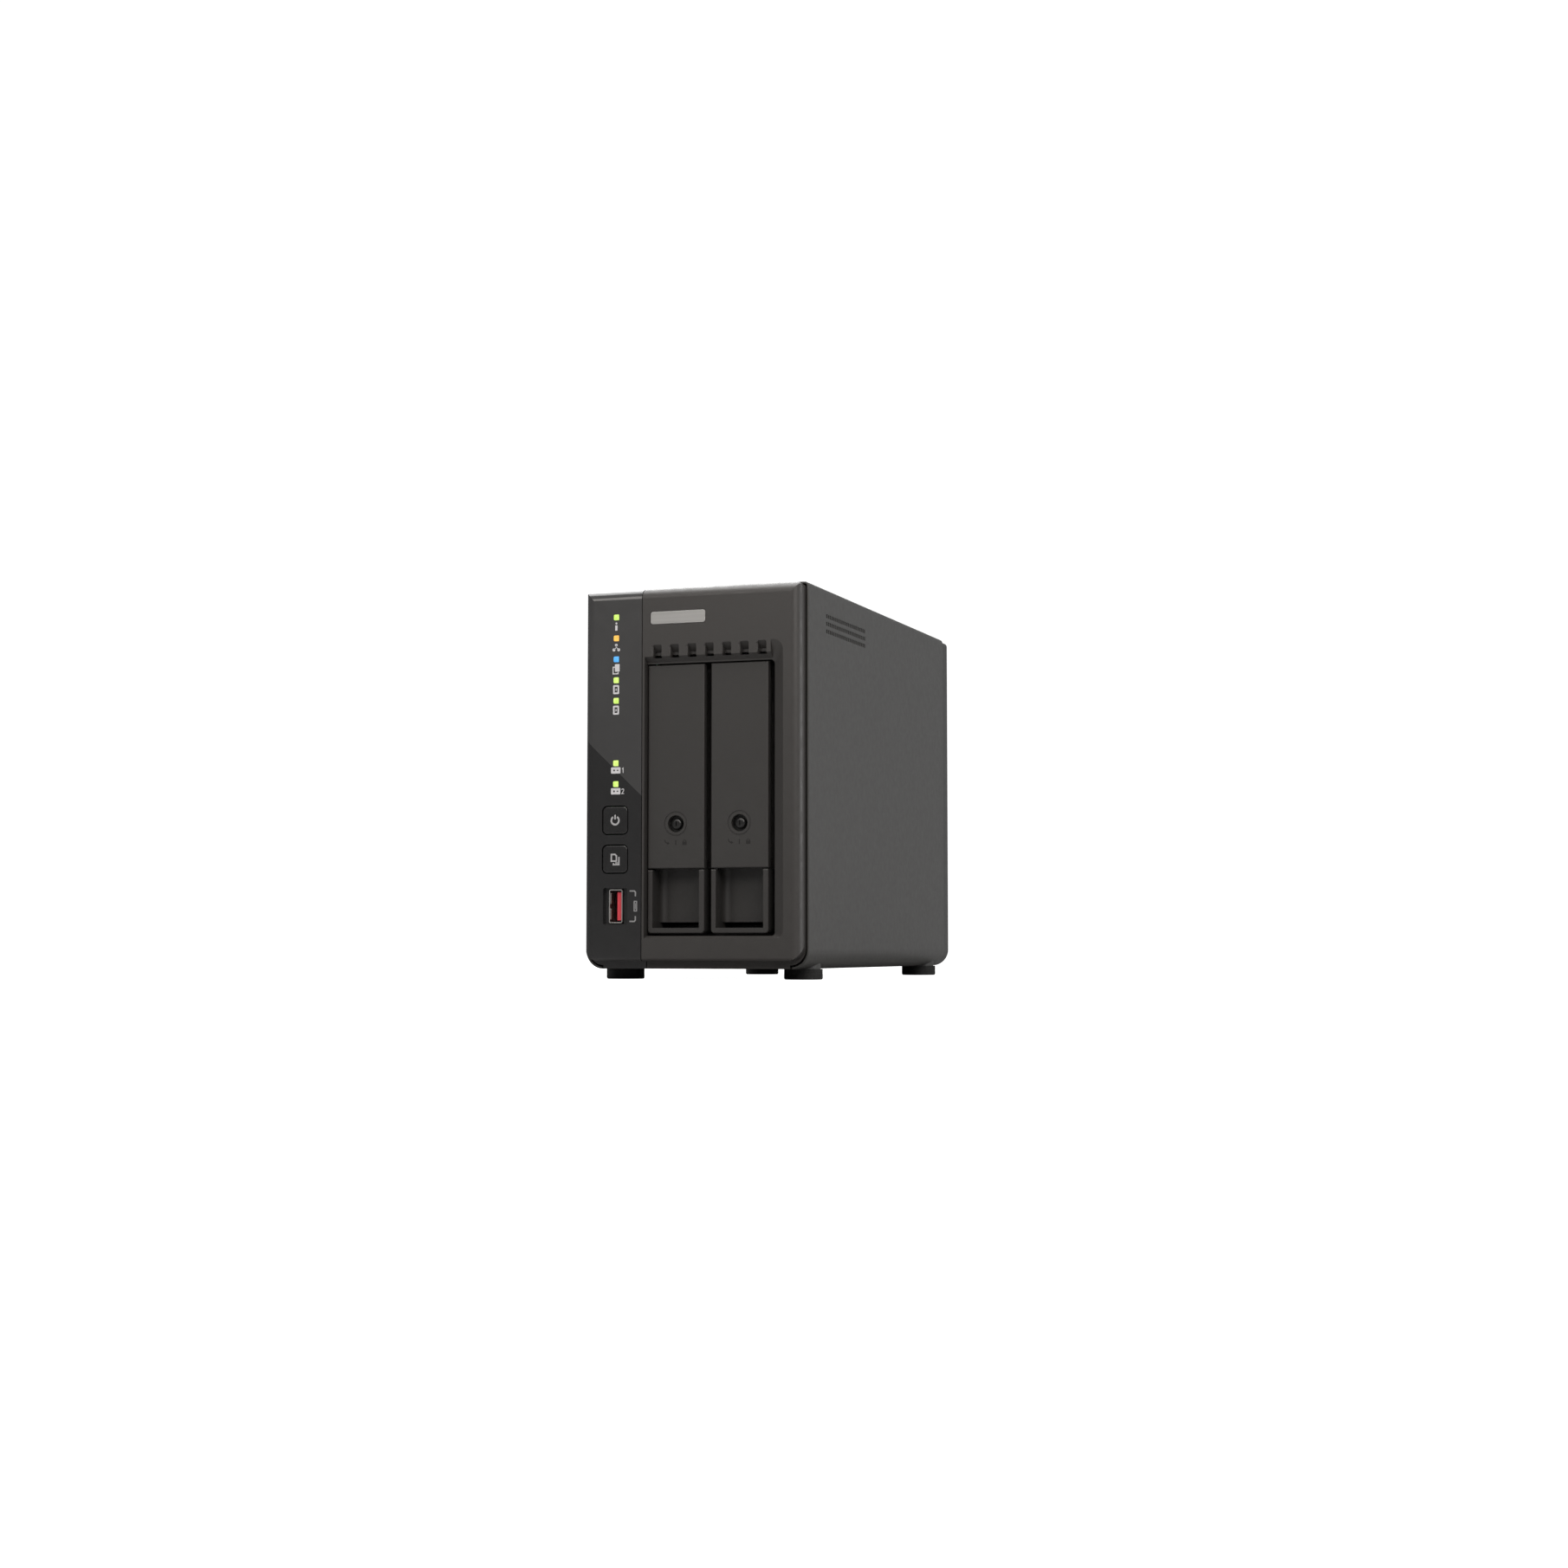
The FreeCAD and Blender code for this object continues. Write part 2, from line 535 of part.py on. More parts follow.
def cage_screw_shanks():
    top = FLOOR + PAN_SHEET + SHEET
    return Part.makeCompound([rod_z(x, y, FLOOR, top, SCREW_SHANK) for x, y in cage_screw_places()])


def cage_screws():
    seat = FLOOR + PAN_SHEET + SHEET
    screws = []
    for x, y in cage_screw_places():
        head = rod_z(x, y, seat, seat + HEAD_THICK, SCREW_HEAD).cut(rod_z(x, y, seat + 0.7, seat + 2, 1.3))
        screws.append(fused(head, rod_z(x, y, FLOOR, seat, SCREW_SHANK)))
    return Part.makeCompound(screws)


def tray_guide(base0, base1, rib0, rib1):
    """Plastic runner plate with ribs that stand between the trays."""
    y0, y1 = CAGE_FRONT + 2, FRAME_BACK
    guide = box(CAGE_LEFT, CAGE_RIGHT, y0, y1, base0, base1)
    middle = (TRAY_XS[0] + TRAY_XS[1]) / 2
    rib = box(middle - 0.6, middle + 0.6, y0, y1, rib0, rib1)
    edge = box(TRAY_XS[1] + TRAY_HALF + 0.8, CAGE_RIGHT, y0, y1, rib0, rib1)
    holes = [box(x - 7, x + 7, y, y + 24, base0 - 1, base1 + 1) for x in TRAY_XS for y in (-80, -44, -8)]
    return fused(guide, rib, edge).cut(Part.makeCompound(holes))


def upper_tray_guide():
    base = FRAME_TOP + GUIDE_GAP
    return tray_guide(base, CAGE_TOP, FRAME_TOP - GUIDE_RIB, base)


def lower_tray_guide():
    base = FRAME_BOTTOM - GUIDE_GAP
    return tray_guide(CAGE_FLOOR, base, base, FRAME_BOTTOM + GUIDE_RIB)


def backplane_board():
    """Upright board across the back of the cage; it plugs into the main board on the left."""
    board = box(-40.0, CAGE_RIGHT, CAGE_BACK, CAGE_BACK + BOARD, 30.0, 124.0)
    airways = [box(x - 7, x + 7, CAGE_BACK - 1, CAGE_BACK + BOARD + 1, 88, 118) for x in TRAY_XS]
    return board.cut(Part.makeCompound(airways))


def sata_sockets():
    sockets = []
    for x in TRAY_XS:
        left = x - TRAY_HALF + 3.4
        body = box(left, left + 6.0, DRIVE_BACK + 0.4, CAGE_BACK, 32.0, 76.0)
        slots = box(left + 2.2, left + 3.8, DRIVE_BACK, DRIVE_BACK + 4.5, 34.0, 48.0)
        slots = slots.fuse(box(left + 2.2, left + 3.8, DRIVE_BACK, DRIVE_BACK + 4.5, 50.0, 72.0))
        sockets.append(body.cut(slots))
    return Part.makeCompound(sockets)


def backplane_connector():
    """Edge connector on the main board that the backplane is pressed into."""
    body = box(MAIN_FACE, -36.0, CAGE_BACK - 3.0, CAGE_BACK + BOARD + 3.0, 40.0, 112.0)
    return body.cut(box(-40.0, -35.0, CAGE_BACK, CAGE_BACK + BOARD, 30.0, 120.0))


# ---------------------------------------------------------------- main board
def main_board():
    board = box(MAIN_X, MAIN_FACE, *MAIN_Y, *MAIN_Z)
    corner = box(MAIN_X - 1, MAIN_FACE + 1, MAIN_Y[1] - 26, MAIN_Y[1] + 1, 132.0, MAIN_Z[1] + 1)
    holes = [rod_x(MAIN_X - 1, MAIN_FACE + 1, y, z, SCREW_SHANK) for y, z in STANDOFFS]
    return board.cut(corner).cut(Part.makeCompound(holes))


def board_standoffs():
    """Hexagonal spacers between the cage's left wall and the main board."""
    spacers = []
    for y, z in STANDOFFS:
        points = [Vector(MAIN_FACE, y + 3.2 * math.cos(math.radians(a)), z + 3.2 * math.sin(math.radians(a)))
                  for a in range(0, 361, 60)]
        face = Part.Face(Part.makePolygon(points))
        spacers.append(face.extrude(Vector(CAGE_LEFT - SHEET - MAIN_FACE, 0, 0)))
    return Part.makeCompound(spacers)


def board_screws():
    screws = []
    for y, z in STANDOFFS:
        head = rod_x(MAIN_X - 1.8, MAIN_X, y, z, SCREW_HEAD).cut(rod_x(MAIN_X - 2, MAIN_X - 1.0, y, z, 1.3))
        screws.append(fused(head, rod_x(MAIN_X, MAIN_FACE, y, z, SCREW_SHANK)))
    return Part.makeCompound(screws)


def heat_sink():
    """Finned block on the processor; the fins run along the air stream."""
    x0 = MAIN_FACE + PROCESSOR["thick"]
    y, z, half = PROCESSOR["y"], PROCESSOR["z"], 22.0
    base = box(x0, x0 + 2.5, y - half, y + half, z - half, z + half)
    fins = [box(x0 + 2.5, x0 + 15.0, y - half, y + half, z - half + step * 3.9, z - half + step * 3.9 + 1.2)
            for step in range(12)]
    return fused(base, *fins)


def memory_socket():
    rail = box(MAIN_FACE, MAIN_FACE + 5.2, -52.0, -46.0, 28.0, 98.0)
    arms = [box(MAIN_FACE, MAIN_FACE + 4.2, -46.0, -20.0, z, z + 1.2) for z in (28.0, 96.8)]
    slot = box(MAIN_FACE + 2.6, MAIN_FACE + 3.6, -50.0, -45.0, 29.2, 96.8)
    return fused(rail, *arms).cut(slot)


def memory_module():
    board = box(MAIN_FACE + 2.6, MAIN_FACE + 3.6, -50.0, -20.0, 29.3, 96.7)
    chips = [box(MAIN_FACE + 3.6, MAIN_FACE + 4.8, -42.0, -31.0, z, z + 8.0) for z in MEMORY_CHIP_ZS]
    return fused(board, *chips)


def coin_cell():
    return rod_x(MAIN_FACE + 0.8, MAIN_FACE + 4.0, -30.0, 124.0, 10.0)


def coin_cell_holder():
    cup = rod_x(MAIN_FACE, MAIN_FACE + 3.4, -30.0, 124.0, 11.6)
    return cup.cut(rod_x(MAIN_FACE + 0.8, MAIN_FACE + 6, -30.0, 124.0, 10.15))


def board_chips():
    """Processor, network, storage and flash chips, the coils of the power stage and the reset switch."""
    wide = PROCESSOR["wide"]
    processor = (PROCESSOR["y"] - wide / 2, PROCESSOR["z"] - wide / 2, wide, PROCESSOR["thick"])
    places = (processor, (72.0, 60.0, 9.0, 1.2), (72.0, 82.0, 9.0, 1.2), (-8.0, 34.0, 14.0, 1.4),
              (30.0, 128.0, 12.0, 1.2), (20.0, 44.0, 10.0, 1.2), (-66.0, 60.0, 8.0, 1.2),
              (78.0, 28.0, 10.0, 6.0), (62.0, 22.0, 9.0, 5.0))
    chips = [box(MAIN_FACE, MAIN_FACE + high, y, y + wide, z, z + wide) for y, z, wide, high in places]
    switch = box(MAIN_FACE, RESET_X + 2.0, 97.0, 104.0, RESET_Z - 2.6, RESET_Z + 2.6)
    chips.append(switch.cut(rod_y(RESET_X, 100.0, 105.0, RESET_Z, 1.0 + RUNNING)))
    return Part.makeCompound(chips)


def board_capacitors():
    cans = []
    for y, z in CAPACITORS:
        can = rod_x(MAIN_FACE, MAIN_FACE + 8.5, y, z, 3.15)
        core = rod_x(MAIN_FACE, MAIN_FACE + 3, y, z, 2.9)
        groove = rod_x(MAIN_FACE + 1.2, MAIN_FACE + 1.8, y, z, 4.0).cut(core)
        cans.append(can.cut(groove))
    return Part.makeCompound(cans)


# ---------------------------------------------------------------- rear
def grille_holes(cutter_y0, cutter_y1):
    """Hexagonal holes in staggered rows, behind the fan."""
    pitch = 5.4
    radius = 2.75
    holes = []
    for row in range(-6, 7):
        for column in range(-7, 8):
            x = column * pitch + (pitch / 2 if row % 2 else 0)
            z = row * pitch * math.sqrt(0.75)
            if math.hypot(x, z) > FAN_BORE - 2.8:
                continue
            points = [Vector(FAN_X + x + radius * math.sin(math.radians(a)), cutter_y0,
                             FAN_Z + z + radius * math.cos(math.radians(a))) for a in range(0, 361, 60)]
            holes.append(Part.Face(Part.makePolygon(points)).extrude(Vector(0, cutter_y1 - cutter_y0, 0)))
    return holes


def port_cuts():
    y0, y1, g = PLATE_INNER - 1, BACK + 1, 0.3
    cuts = [box(MAIN_FACE - g, MAIN_FACE + 13.5 + g, y0, y1, z - 8 - g, z + 8 + g) for z in LAN_ZS]
    for z in USB_REAR_ZS:
        cuts += [box(x - 3.1 - g, x + 3.1 + g, y0, y1, z - 7.0 - g, z + 7.0 + g) for x in USB_REAR_XS]
    cuts.append(box(HDMI_X - 3.3 - g, HDMI_X + 3.3 + g, y0, y1, HDMI_Z - 7.9 - g, HDMI_Z + 7.9 + g))
    cuts.append(box(DC_X - 5.5 - g, DC_X + 5.5 + g, y0, y1, DC_Z - 5.0 - g, DC_Z + 5.0 + g))
    cuts.append(rod_y(RESET_X, y0, y1, RESET_Z, 1.3))
    cuts.append(rounded_prism(SLOT_X - 3.5, SLOT_X + 3.5, SLOT_Z - 1.5, SLOT_Z + 1.5, y0, y1, 1.0))
    return cuts


def rear_panel():
    """Back of the box: a shallow tray whose rim meets the cover, with the grille and the port holes."""
    outer = rounded_prism(-RIM_HALF, RIM_HALF, FLOOR, RIM_TOP, COVER_BACK, BACK, BOTTOM_ROLL, TOP_BEND)
    outer = softened(outer, BACK, 0.8)
    inner = rounded_prism(-RIM_HALF + 1.4, RIM_HALF - 1.4, FLOOR + 1.4, RIM_TOP - 1.4, COVER_BACK - 1,
                          PLATE_INNER, BOTTOM_ROLL - 1.4, 1.0)
    shell = outer.cut(inner)
    bosses = [rod_y(x, COVER_BACK, PLATE_INNER, z, 4.0) for x, z in COVER_SCREWS]
    shell = fused(shell, *bosses)
    vents = [box(x, x + 2.4, PLATE_INNER - 1, BACK + 1, z, z + 14)
             for x in range(-14, 33, 5) for z in (136, 30)]
    screw_holes = []
    for x, z in COVER_SCREWS:
        screw_holes.append(rod_y(x, COVER_BACK - 1, BACK, z, SCREW_SHANK + 0.1))
        screw_holes.append(rod_y(x, BACK - HEAD_THICK, BACK + 1, z, SCREW_HEAD + 0.2))
    for x, z in fan_corners():
        screw_holes.append(rod_y(x, PLATE_INNER - 1, BACK, z, SCREW_SHANK + 0.1))
        screw_holes.append(rod_y(x, BACK - HEAD_THICK, BACK + 1, z, SCREW_HEAD + 0.2))
    holes = grille_holes(PLATE_INNER - 1, BACK + 1) + port_cuts() + vents + screw_holes
    return shell.cut(Part.makeCompound(holes))


def fan_corners():
    return [(FAN_X + sx * FAN_BOLT, FAN_Z + sz * FAN_BOLT) for sx in (-1, 1) for sz in (-1, 1)]


def fan_screws():
    return Part.makeCompound([pan_screw_y(x, z, PLATE_INNER - 9) for x, z in fan_corners()])


def cover_screws():
    return Part.makeCompound([pan_screw_y(x, z, COVER_BACK - 3) for x, z in COVER_SCREWS])


def fan_frame():
    """Square fan housing; the motor's seat is held on the inner side by four struts."""
    half = FAN_SIZE / 2
    y0, y1 = FAN_FRONT, PLATE_INNER
    body = rounded_prism(FAN_X - half, FAN_X + half, FAN_Z - half, FAN_Z + half, y0, y1, 4.0)
    body = body.cut(rod_y(FAN_X, y0 - 1, y1 + 1, FAN_Z, FAN_BORE))
    waist = box(FAN_X - half - 1, FAN_X + half + 1, y0 + 4, y1 - 4, FAN_Z - half - 1, FAN_Z + half + 1)
    waist = waist.cut(rod_y(FAN_X, y0, y1, FAN_Z, half + 0.4))
    body = body.cut(waist)
    seat = rod_y(FAN_X, y0, y0 + 3.0, FAN_Z, HUB_RADIUS + 0.5)
    tube = rod_y(FAN_X, y0 + 3.0, y0 + 15.0, FAN_Z, 3.6)
    struts = []
    for angle in (45, 135, 225, 315):
        strut = box(HUB_RADIUS - 1, FAN_BORE + 1, y0, y0 + 3.0, -1.8, 1.8)
        strut.rotate(Vector(0, 0, 0), Vector(0, 1, 0), angle)
        strut.translate(Vector(FAN_X, 0, FAN_Z))
        struts.append(strut)
    frame = fused(body, seat, tube, *struts)
    holes = [rod_y(x, y0 - 1, y1 + 1, z, SCREW_SHANK) for x, z in fan_corners()]
    shaft_bore = rod_y(FAN_X, y0 + 1.5, y0 + 16, FAN_Z, SCREW_SHANK + RUNNING)
    return frame.cut(Part.makeCompound(holes)).cut(shaft_bore)


def fan_blade():
    """One twisted blade, pointing along +X, trimmed to the sweep of the rotor."""
    def section(radius, chord, pitch):
        c, s = math.cos(math.radians(pitch)), math.sin(math.radians(pitch))
        corners = [(-chord / 2, -0.6), (chord / 2, -0.6), (chord / 2, 0.6), (-chord / 2, 0.6)]
        points = [Vector(radius, a * s + b * c, a * c - b * s) for a, b in corners]
        return Part.makePolygon(points + points[:1])

    blade = Part.makeLoft([section(HUB_RADIUS - 1.5, 12.0, 50), section(BLADE_TIP + 3, 20.0, 30)], True, True)
    sweep = rod_y(0, -20, 20, 0, BLADE_TIP).cut(rod_y(0, -21, 21, 0, HUB_RADIUS - 0.8))
    return blade.common(sweep)


def fan_rotor():
    y0 = FAN_FRONT + 4.0
    y1 = PLATE_INNER - 2.5
    cup = rod_y(FAN_X, y0, y1, FAN_Z, HUB_RADIUS).cut(rod_y(FAN_X, y0 - 1, y1 - 2.0, FAN_Z, HUB_RADIUS - 1.6))
    shaft = rod_y(FAN_X, FAN_FRONT + 2.0, y1 - 2.0, FAN_Z, SCREW_SHANK)
    blades = []
    for index in range(7):
        blade = fan_blade()
        blade.rotate(Vector(0, 0, 0), Vector(0, 1, 0), index * 360 / 7)
        blade.translate(Vector(FAN_X, (y0 + y1) / 2, FAN_Z))
        blades.append(blade)
    return fused(cup, shaft, *blades)


def lan_jacks():
    jacks = []
    for z in LAN_ZS:
        body = box(MAIN_FACE, MAIN_FACE + 13.5, PORT_FACE - 21.0, PORT_FACE, z - 8.0, z + 8.0)
        cavity = box(MAIN_FACE + 4.2, MAIN_FACE + 11.2, PORT_FACE - 12.5, PORT_FACE + 1, z - 5.9, z + 5.9)
        clip = box(MAIN_FACE + 2.6, MAIN_FACE + 4.2, PORT_FACE - 12.5, PORT_FACE + 1, z - 3.2, z + 3.2)
        catch = box(MAIN_FACE + 1.2, MAIN_FACE + 2.6, PORT_FACE - 12.5, PORT_FACE + 1, z - 2.0, z + 2.0)
        jacks.append(body.cut(cavity).cut(clip).cut(catch))
    return Part.makeCompound(jacks)


def rear_usb_places():
    return [(x, z) for z in USB_REAR_ZS for x in USB_REAR_XS]


def rear_usb_shells():
    shells = []
    for x, z in rear_usb_places():
        outer = rounded_prism(x - 3.1, x + 3.1, z - 7.0, z + 7.0, PORT_FACE - 16, PORT_FACE, 0.8)
        inner = rounded_prism(x - 2.7, x + 2.7, z - 6.6, z + 6.6, PORT_FACE - 15, PORT_FACE + 1, 0.4)
        shells.append(outer.cut(inner))
    return Part.makeCompound(shells)


def rear_usb_tongues():
    y0, y1 = PORT_FACE - 15, PORT_FACE - 1.2
    tongues = [box(x - 2.2, x - 0.4, y0, y1, z - 5.8, z + 5.8) for x, z in rear_usb_places()]
    return Part.makeCompound(tongues)


def hdmi_socket():
    """Tapered shell with a contact tongue, standing upright on the board."""
    def outline(margin, y):
        points = ((-2.9, -7.6), (1.0, -7.6), (2.9, -5.6), (2.9, 5.6), (1.0, 7.6), (-2.9, 7.6))
        scale_x, scale_z = (2.9 - margin) / 2.9, (7.6 - margin) / 7.6
        corners = [Vector(HDMI_X + x * scale_x, y, HDMI_Z + z * scale_z) for x, z in points]
        return Part.Face(Part.makePolygon(corners + corners[:1]))

    shell = outline(0.0, PORT_FACE - 12).extrude(Vector(0, 12, 0))
    cavity = outline(0.5, PORT_FACE - 11).extrude(Vector(0, 12, 0))
    tongue = box(HDMI_X - 0.9, HDMI_X + 0.3, PORT_FACE - 11.0, PORT_FACE - 1.5, HDMI_Z - 5.4, HDMI_Z + 5.4)
    return fused(shell.cut(cavity), tongue)


def dc_jack():
    body = box(DC_X - 5.5, DC_X + 5.5, PORT_FACE - 13, PORT_FACE, DC_Z - 5.0, DC_Z + 5.0)
    seat = box(MAIN_FACE, DC_X - 5.5, PORT_FACE - 13, PORT_FACE - 8, DC_Z - 4.0, DC_Z + 4.0)
    return fused(body, seat).cut(rod_y(DC_X, PORT_FACE - 9.5, PORT_FACE + 1, DC_Z, 3.15))


def dc_jack_pin():
    return rod_y(DC_X, PORT_FACE - 9.5, PORT_FACE - 0.8, DC_Z, 1.0)


def reset_button():
    return rod_y(RESET_X, 101.0, BACK - 3.2, RESET_Z, 1.0)


# ---------------------------------------------------------------- trays
def drive_screw_rods(x0, x1):
    return [rod_x(x0, x1, y, z, SCREW_SHANK) for y in DRIVE_SCREW_YS for z in DRIVE_SCREW_ZS]


def tray_frame(x):
    """Tray of one drive: side plate, runners, front bulkhead and the U-shaped grip below the handle."""
    left, right = x - TRAY_HALF, x + TRAY_HALF
    plate = box(left, left + PLATE, BULKHEAD_FRONT, FRAME_BACK, FRAME_BOTTOM, FRAME_TOP)
    windows = [box(left - 1, left + PLATE + 1, y, y + 30, z, z + 24)
               for y in (-84, -46, -8) for z in (44, 84)]
    plate = plate.cut(Part.makeCompound(windows))
    upper = box(left, right, BULKHEAD_FRONT, FRAME_BACK, FRAME_TOP - 2.2, FRAME_TOP)
    lower = box(left, right, RUNNER_FRONT, FRAME_BACK, FRAME_BOTTOM, FRAME_BOTTOM + 2.2)
    bulkhead = box(left, right, BULKHEAD_FRONT, BULKHEAD_BACK, HANDLE_BOTTOM, FRAME_TOP)
    sill = box(left, right, BULKHEAD_FRONT, BULKHEAD_BACK, FRAME_BOTTOM, TRAY_BOTTOM + GRIP_BAR)
    ears = []
    for side in (-1, 1):
        low_x, high_x = sorted((x + side * (KNUCKLE_HALF + GAP), x + side * (TRAY_HALF - PIN_INSET)))
        arm = box(low_x, high_x, PIVOT_Y, BULKHEAD_FRONT, PIVOT_Z - EAR_RADIUS, PIVOT_Z + EAR_RADIUS)
        ears.append(arm.fuse(rod_x(low_x, high_x, PIVOT_Y, PIVOT_Z, EAR_RADIUS)))
    holes = drive_screw_rods(left - 1, left + PLATE + 1)
    holes.append(rod_x(left - 1, right + 1, PIVOT_Y, PIVOT_Z, PIN_RADIUS))
    frame = fused(plate, upper, lower, bulkhead, sill, tray_grip(x), *ears)
    return frame.cut(Part.makeCompound(holes))


def finger_recess(left, right, low, high):
    """Space behind the U-shaped grip: its left wall turns into its back in a rounding."""
    front = TRAY_FACE + 2.9
    space = box(left, right, front, RECESS_BACK, low, high)
    corner = [edge for edge in edges_on_plane_y(space, RECESS_BACK)
              if all(abs(vertex.Point.x - left) < TINY for vertex in edge.Vertexes)]
    return space.makeFillet(RECESS_SCOOP, corner)


def tray_grip(x):
    """Lower front of a tray: a U-shaped rim round a finger recess, with an air slot at its foot."""
    left, right = x - TRAY_HALF, x + TRAY_HALF
    top = HANDLE_BOTTOM - 0.5
    low, high = TRAY_BOTTOM + GRIP_BAR, top + 6.0
    block = rounded_prism(left, right, TRAY_BOTTOM, top + 10, TRAY_FACE, BULKHEAD_BACK, GRIP_CORNER)
    block = block.common(box(left, right, TRAY_FACE, BULKHEAD_BACK, TRAY_BOTTOM, top))
    block = block.fuse(box(left + 1.5, right - 1.5, TRAY_FACE + 4.5, BULKHEAD_BACK, top, top + 4.0))
    block = softened(block, TRAY_FACE, 0.6)
    inner_left, inner_right = left + GRIP_ARM, right - GRIP_ARM
    mouth = box(inner_left, inner_right, TRAY_FACE - 1, TRAY_FACE + 3.0, low, high)
    recess = finger_recess(inner_left, inner_right, low + GRIP_SLOT, high)
    slot = box(inner_left, inner_right, TRAY_FACE + 2.9, BULKHEAD_BACK + 1, low, low + GRIP_SLOT)
    return block.cut(mouth).cut(recess).cut(slot)


def tray_handle(x):
    """Long lever that covers the tray's front; it swings out from below about the pin at its top."""
    left, right = x - TRAY_HALF, x + TRAY_HALF
    back = TRAY_FACE + HANDLE_THICK
    plate = box(left, right, TRAY_FACE, back, HANDLE_BOTTOM, TRAY_TOP)
    plate = softened(plate, TRAY_FACE, 0.6)
    ribs = [box(a, a + 1.4, back, back + 3.2, 56.0, 124.0) for a in (left + 1.0, right - 2.4)]
    cross = [box(left + 2.4, right - 2.4, back, back + 2.0, z, z + 1.2) for z in (56.0, 90.0, 122.8)]
    lip = box(x - 2.0, right - 4.5, back, back + 2.0, HANDLE_BOTTOM, HANDLE_BOTTOM + 1.4)
    web = box(x - KNUCKLE_HALF, x + KNUCKLE_HALF, back, PIVOT_Y, PIVOT_Z - 1.7, PIVOT_Z + 1.7)
    knuckle = rod_x(x - KNUCKLE_HALF, x + KNUCKLE_HALF, PIVOT_Y, PIVOT_Z, KNUCKLE_RADIUS)
    boss = rod_y(x, back, back + 2.4, LOCK_Z, LOCK_RADIUS + 1.4)
    handle = fused(plate, *ribs, *cross, lip, web, knuckle, boss)
    groove = rod_y(x, TRAY_FACE - 1, TRAY_FACE + 0.25, LOCK_Z, LOCK_RING)
    groove = groove.cut(rod_y(x, TRAY_FACE - 2, TRAY_FACE + 1, LOCK_Z, LOCK_RING - 0.6))
    bore = rod_y(x, TRAY_FACE - 1, back + 5, LOCK_Z, LOCK_RADIUS + RUNNING)
    pin_bore = rod_x(x - TRAY_HALF, x + TRAY_HALF, PIVOT_Y, PIVOT_Z, PIN_RADIUS + RUNNING)
    return handle.cut(groove).cut(bore).cut(pin_bore)


def tray_lock(x):
    """Lock barrel: a plug with a small key slot, set in a deep ring, and a cam behind the handle."""
    back = TRAY_FACE + HANDLE_THICK + 2.4
    front, foot = TRAY_FACE + 0.3, TRAY_FACE + 2.6
    plug = softened(rod_y(x, front, foot, LOCK_Z, LOCK_PLUG), front, 1.3)
    key_slot = box(x - 0.2, x + 0.2, front - 1, front + 1.6, LOCK_Z - 0.9, LOCK_Z + 0.9)
    barrel = rod_y(x, foot, back + 0.4, LOCK_Z, LOCK_RADIUS)
    cam = box(x - 1.6, x + 1.6, back + 0.4, back + 1.6, LOCK_Z - 6.5, LOCK_Z + 2.0)
    return fused(plug, barrel, cam).cut(key_slot)


def tray_pin(x):
    return rod_x(x - TRAY_HALF + PIN_INSET, x + TRAY_HALF - PIN_INSET, PIVOT_Y, PIVOT_Z, PIN_RADIUS)


def drive_left(x):
    return x - TRAY_HALF + PLATE


def drive_body(x):
    """Cast drive housing with a recess for its board, and a stepped lid."""
    left = drive_left(x)
    right = left + DRIVE_THICK
    low, high = DRIVE_BOTTOM, DRIVE_BOTTOM + DRIVE_TALL
    body = box(left, right - 4.0, DRIVE_FRONT, DRIVE_BACK, low, high)
    board_recess = box(left - 1, left + 3.4, DRIVE_FRONT + 8, DRIVE_BACK + 1, low + 6, high - 6)
    lid = rounded_prism(right - 4.0, right, low + 1.5, high - 1.5, DRIVE_FRONT + 1.5, DRIVE_BACK - 1.5, 0.9)
    ring = rod_x(right - 0.8, right + 1, DRIVE_FRONT + 58, (low + high) / 2, 40)
    ring = ring.cut(rod_x(right - 2, right + 2, DRIVE_FRONT + 58, (low + high) / 2, 37))
    holes = Part.makeCompound(drive_screw_rods(left - 1, left + 3.0))
    return fused(body.cut(board_recess), lid).cut(ring).cut(holes)


def drive_board(x):
    left = drive_left(x)
    board = box(left + 1.2, left + 2.4, DRIVE_FRONT + 10, DRIVE_BACK, DRIVE_BOTTOM + 8, DRIVE_BOTTOM + 72)
    chips = [box(left + 0.3, left + 1.2, y, y + 14, z, z + 14) for y, z in ((-40, 60), (-10, 76), (16, 52))]
    plug = box(left + 0.3, left + 3.4, DRIVE_BACK - 8, DRIVE_BACK, 34.4, 74.0)
    return fused(board, plug, *chips)


def drive_screws(x):
    left = x - TRAY_HALF
    return Part.makeCompound(drive_screw_rods(left, left + PLATE + 3.0))


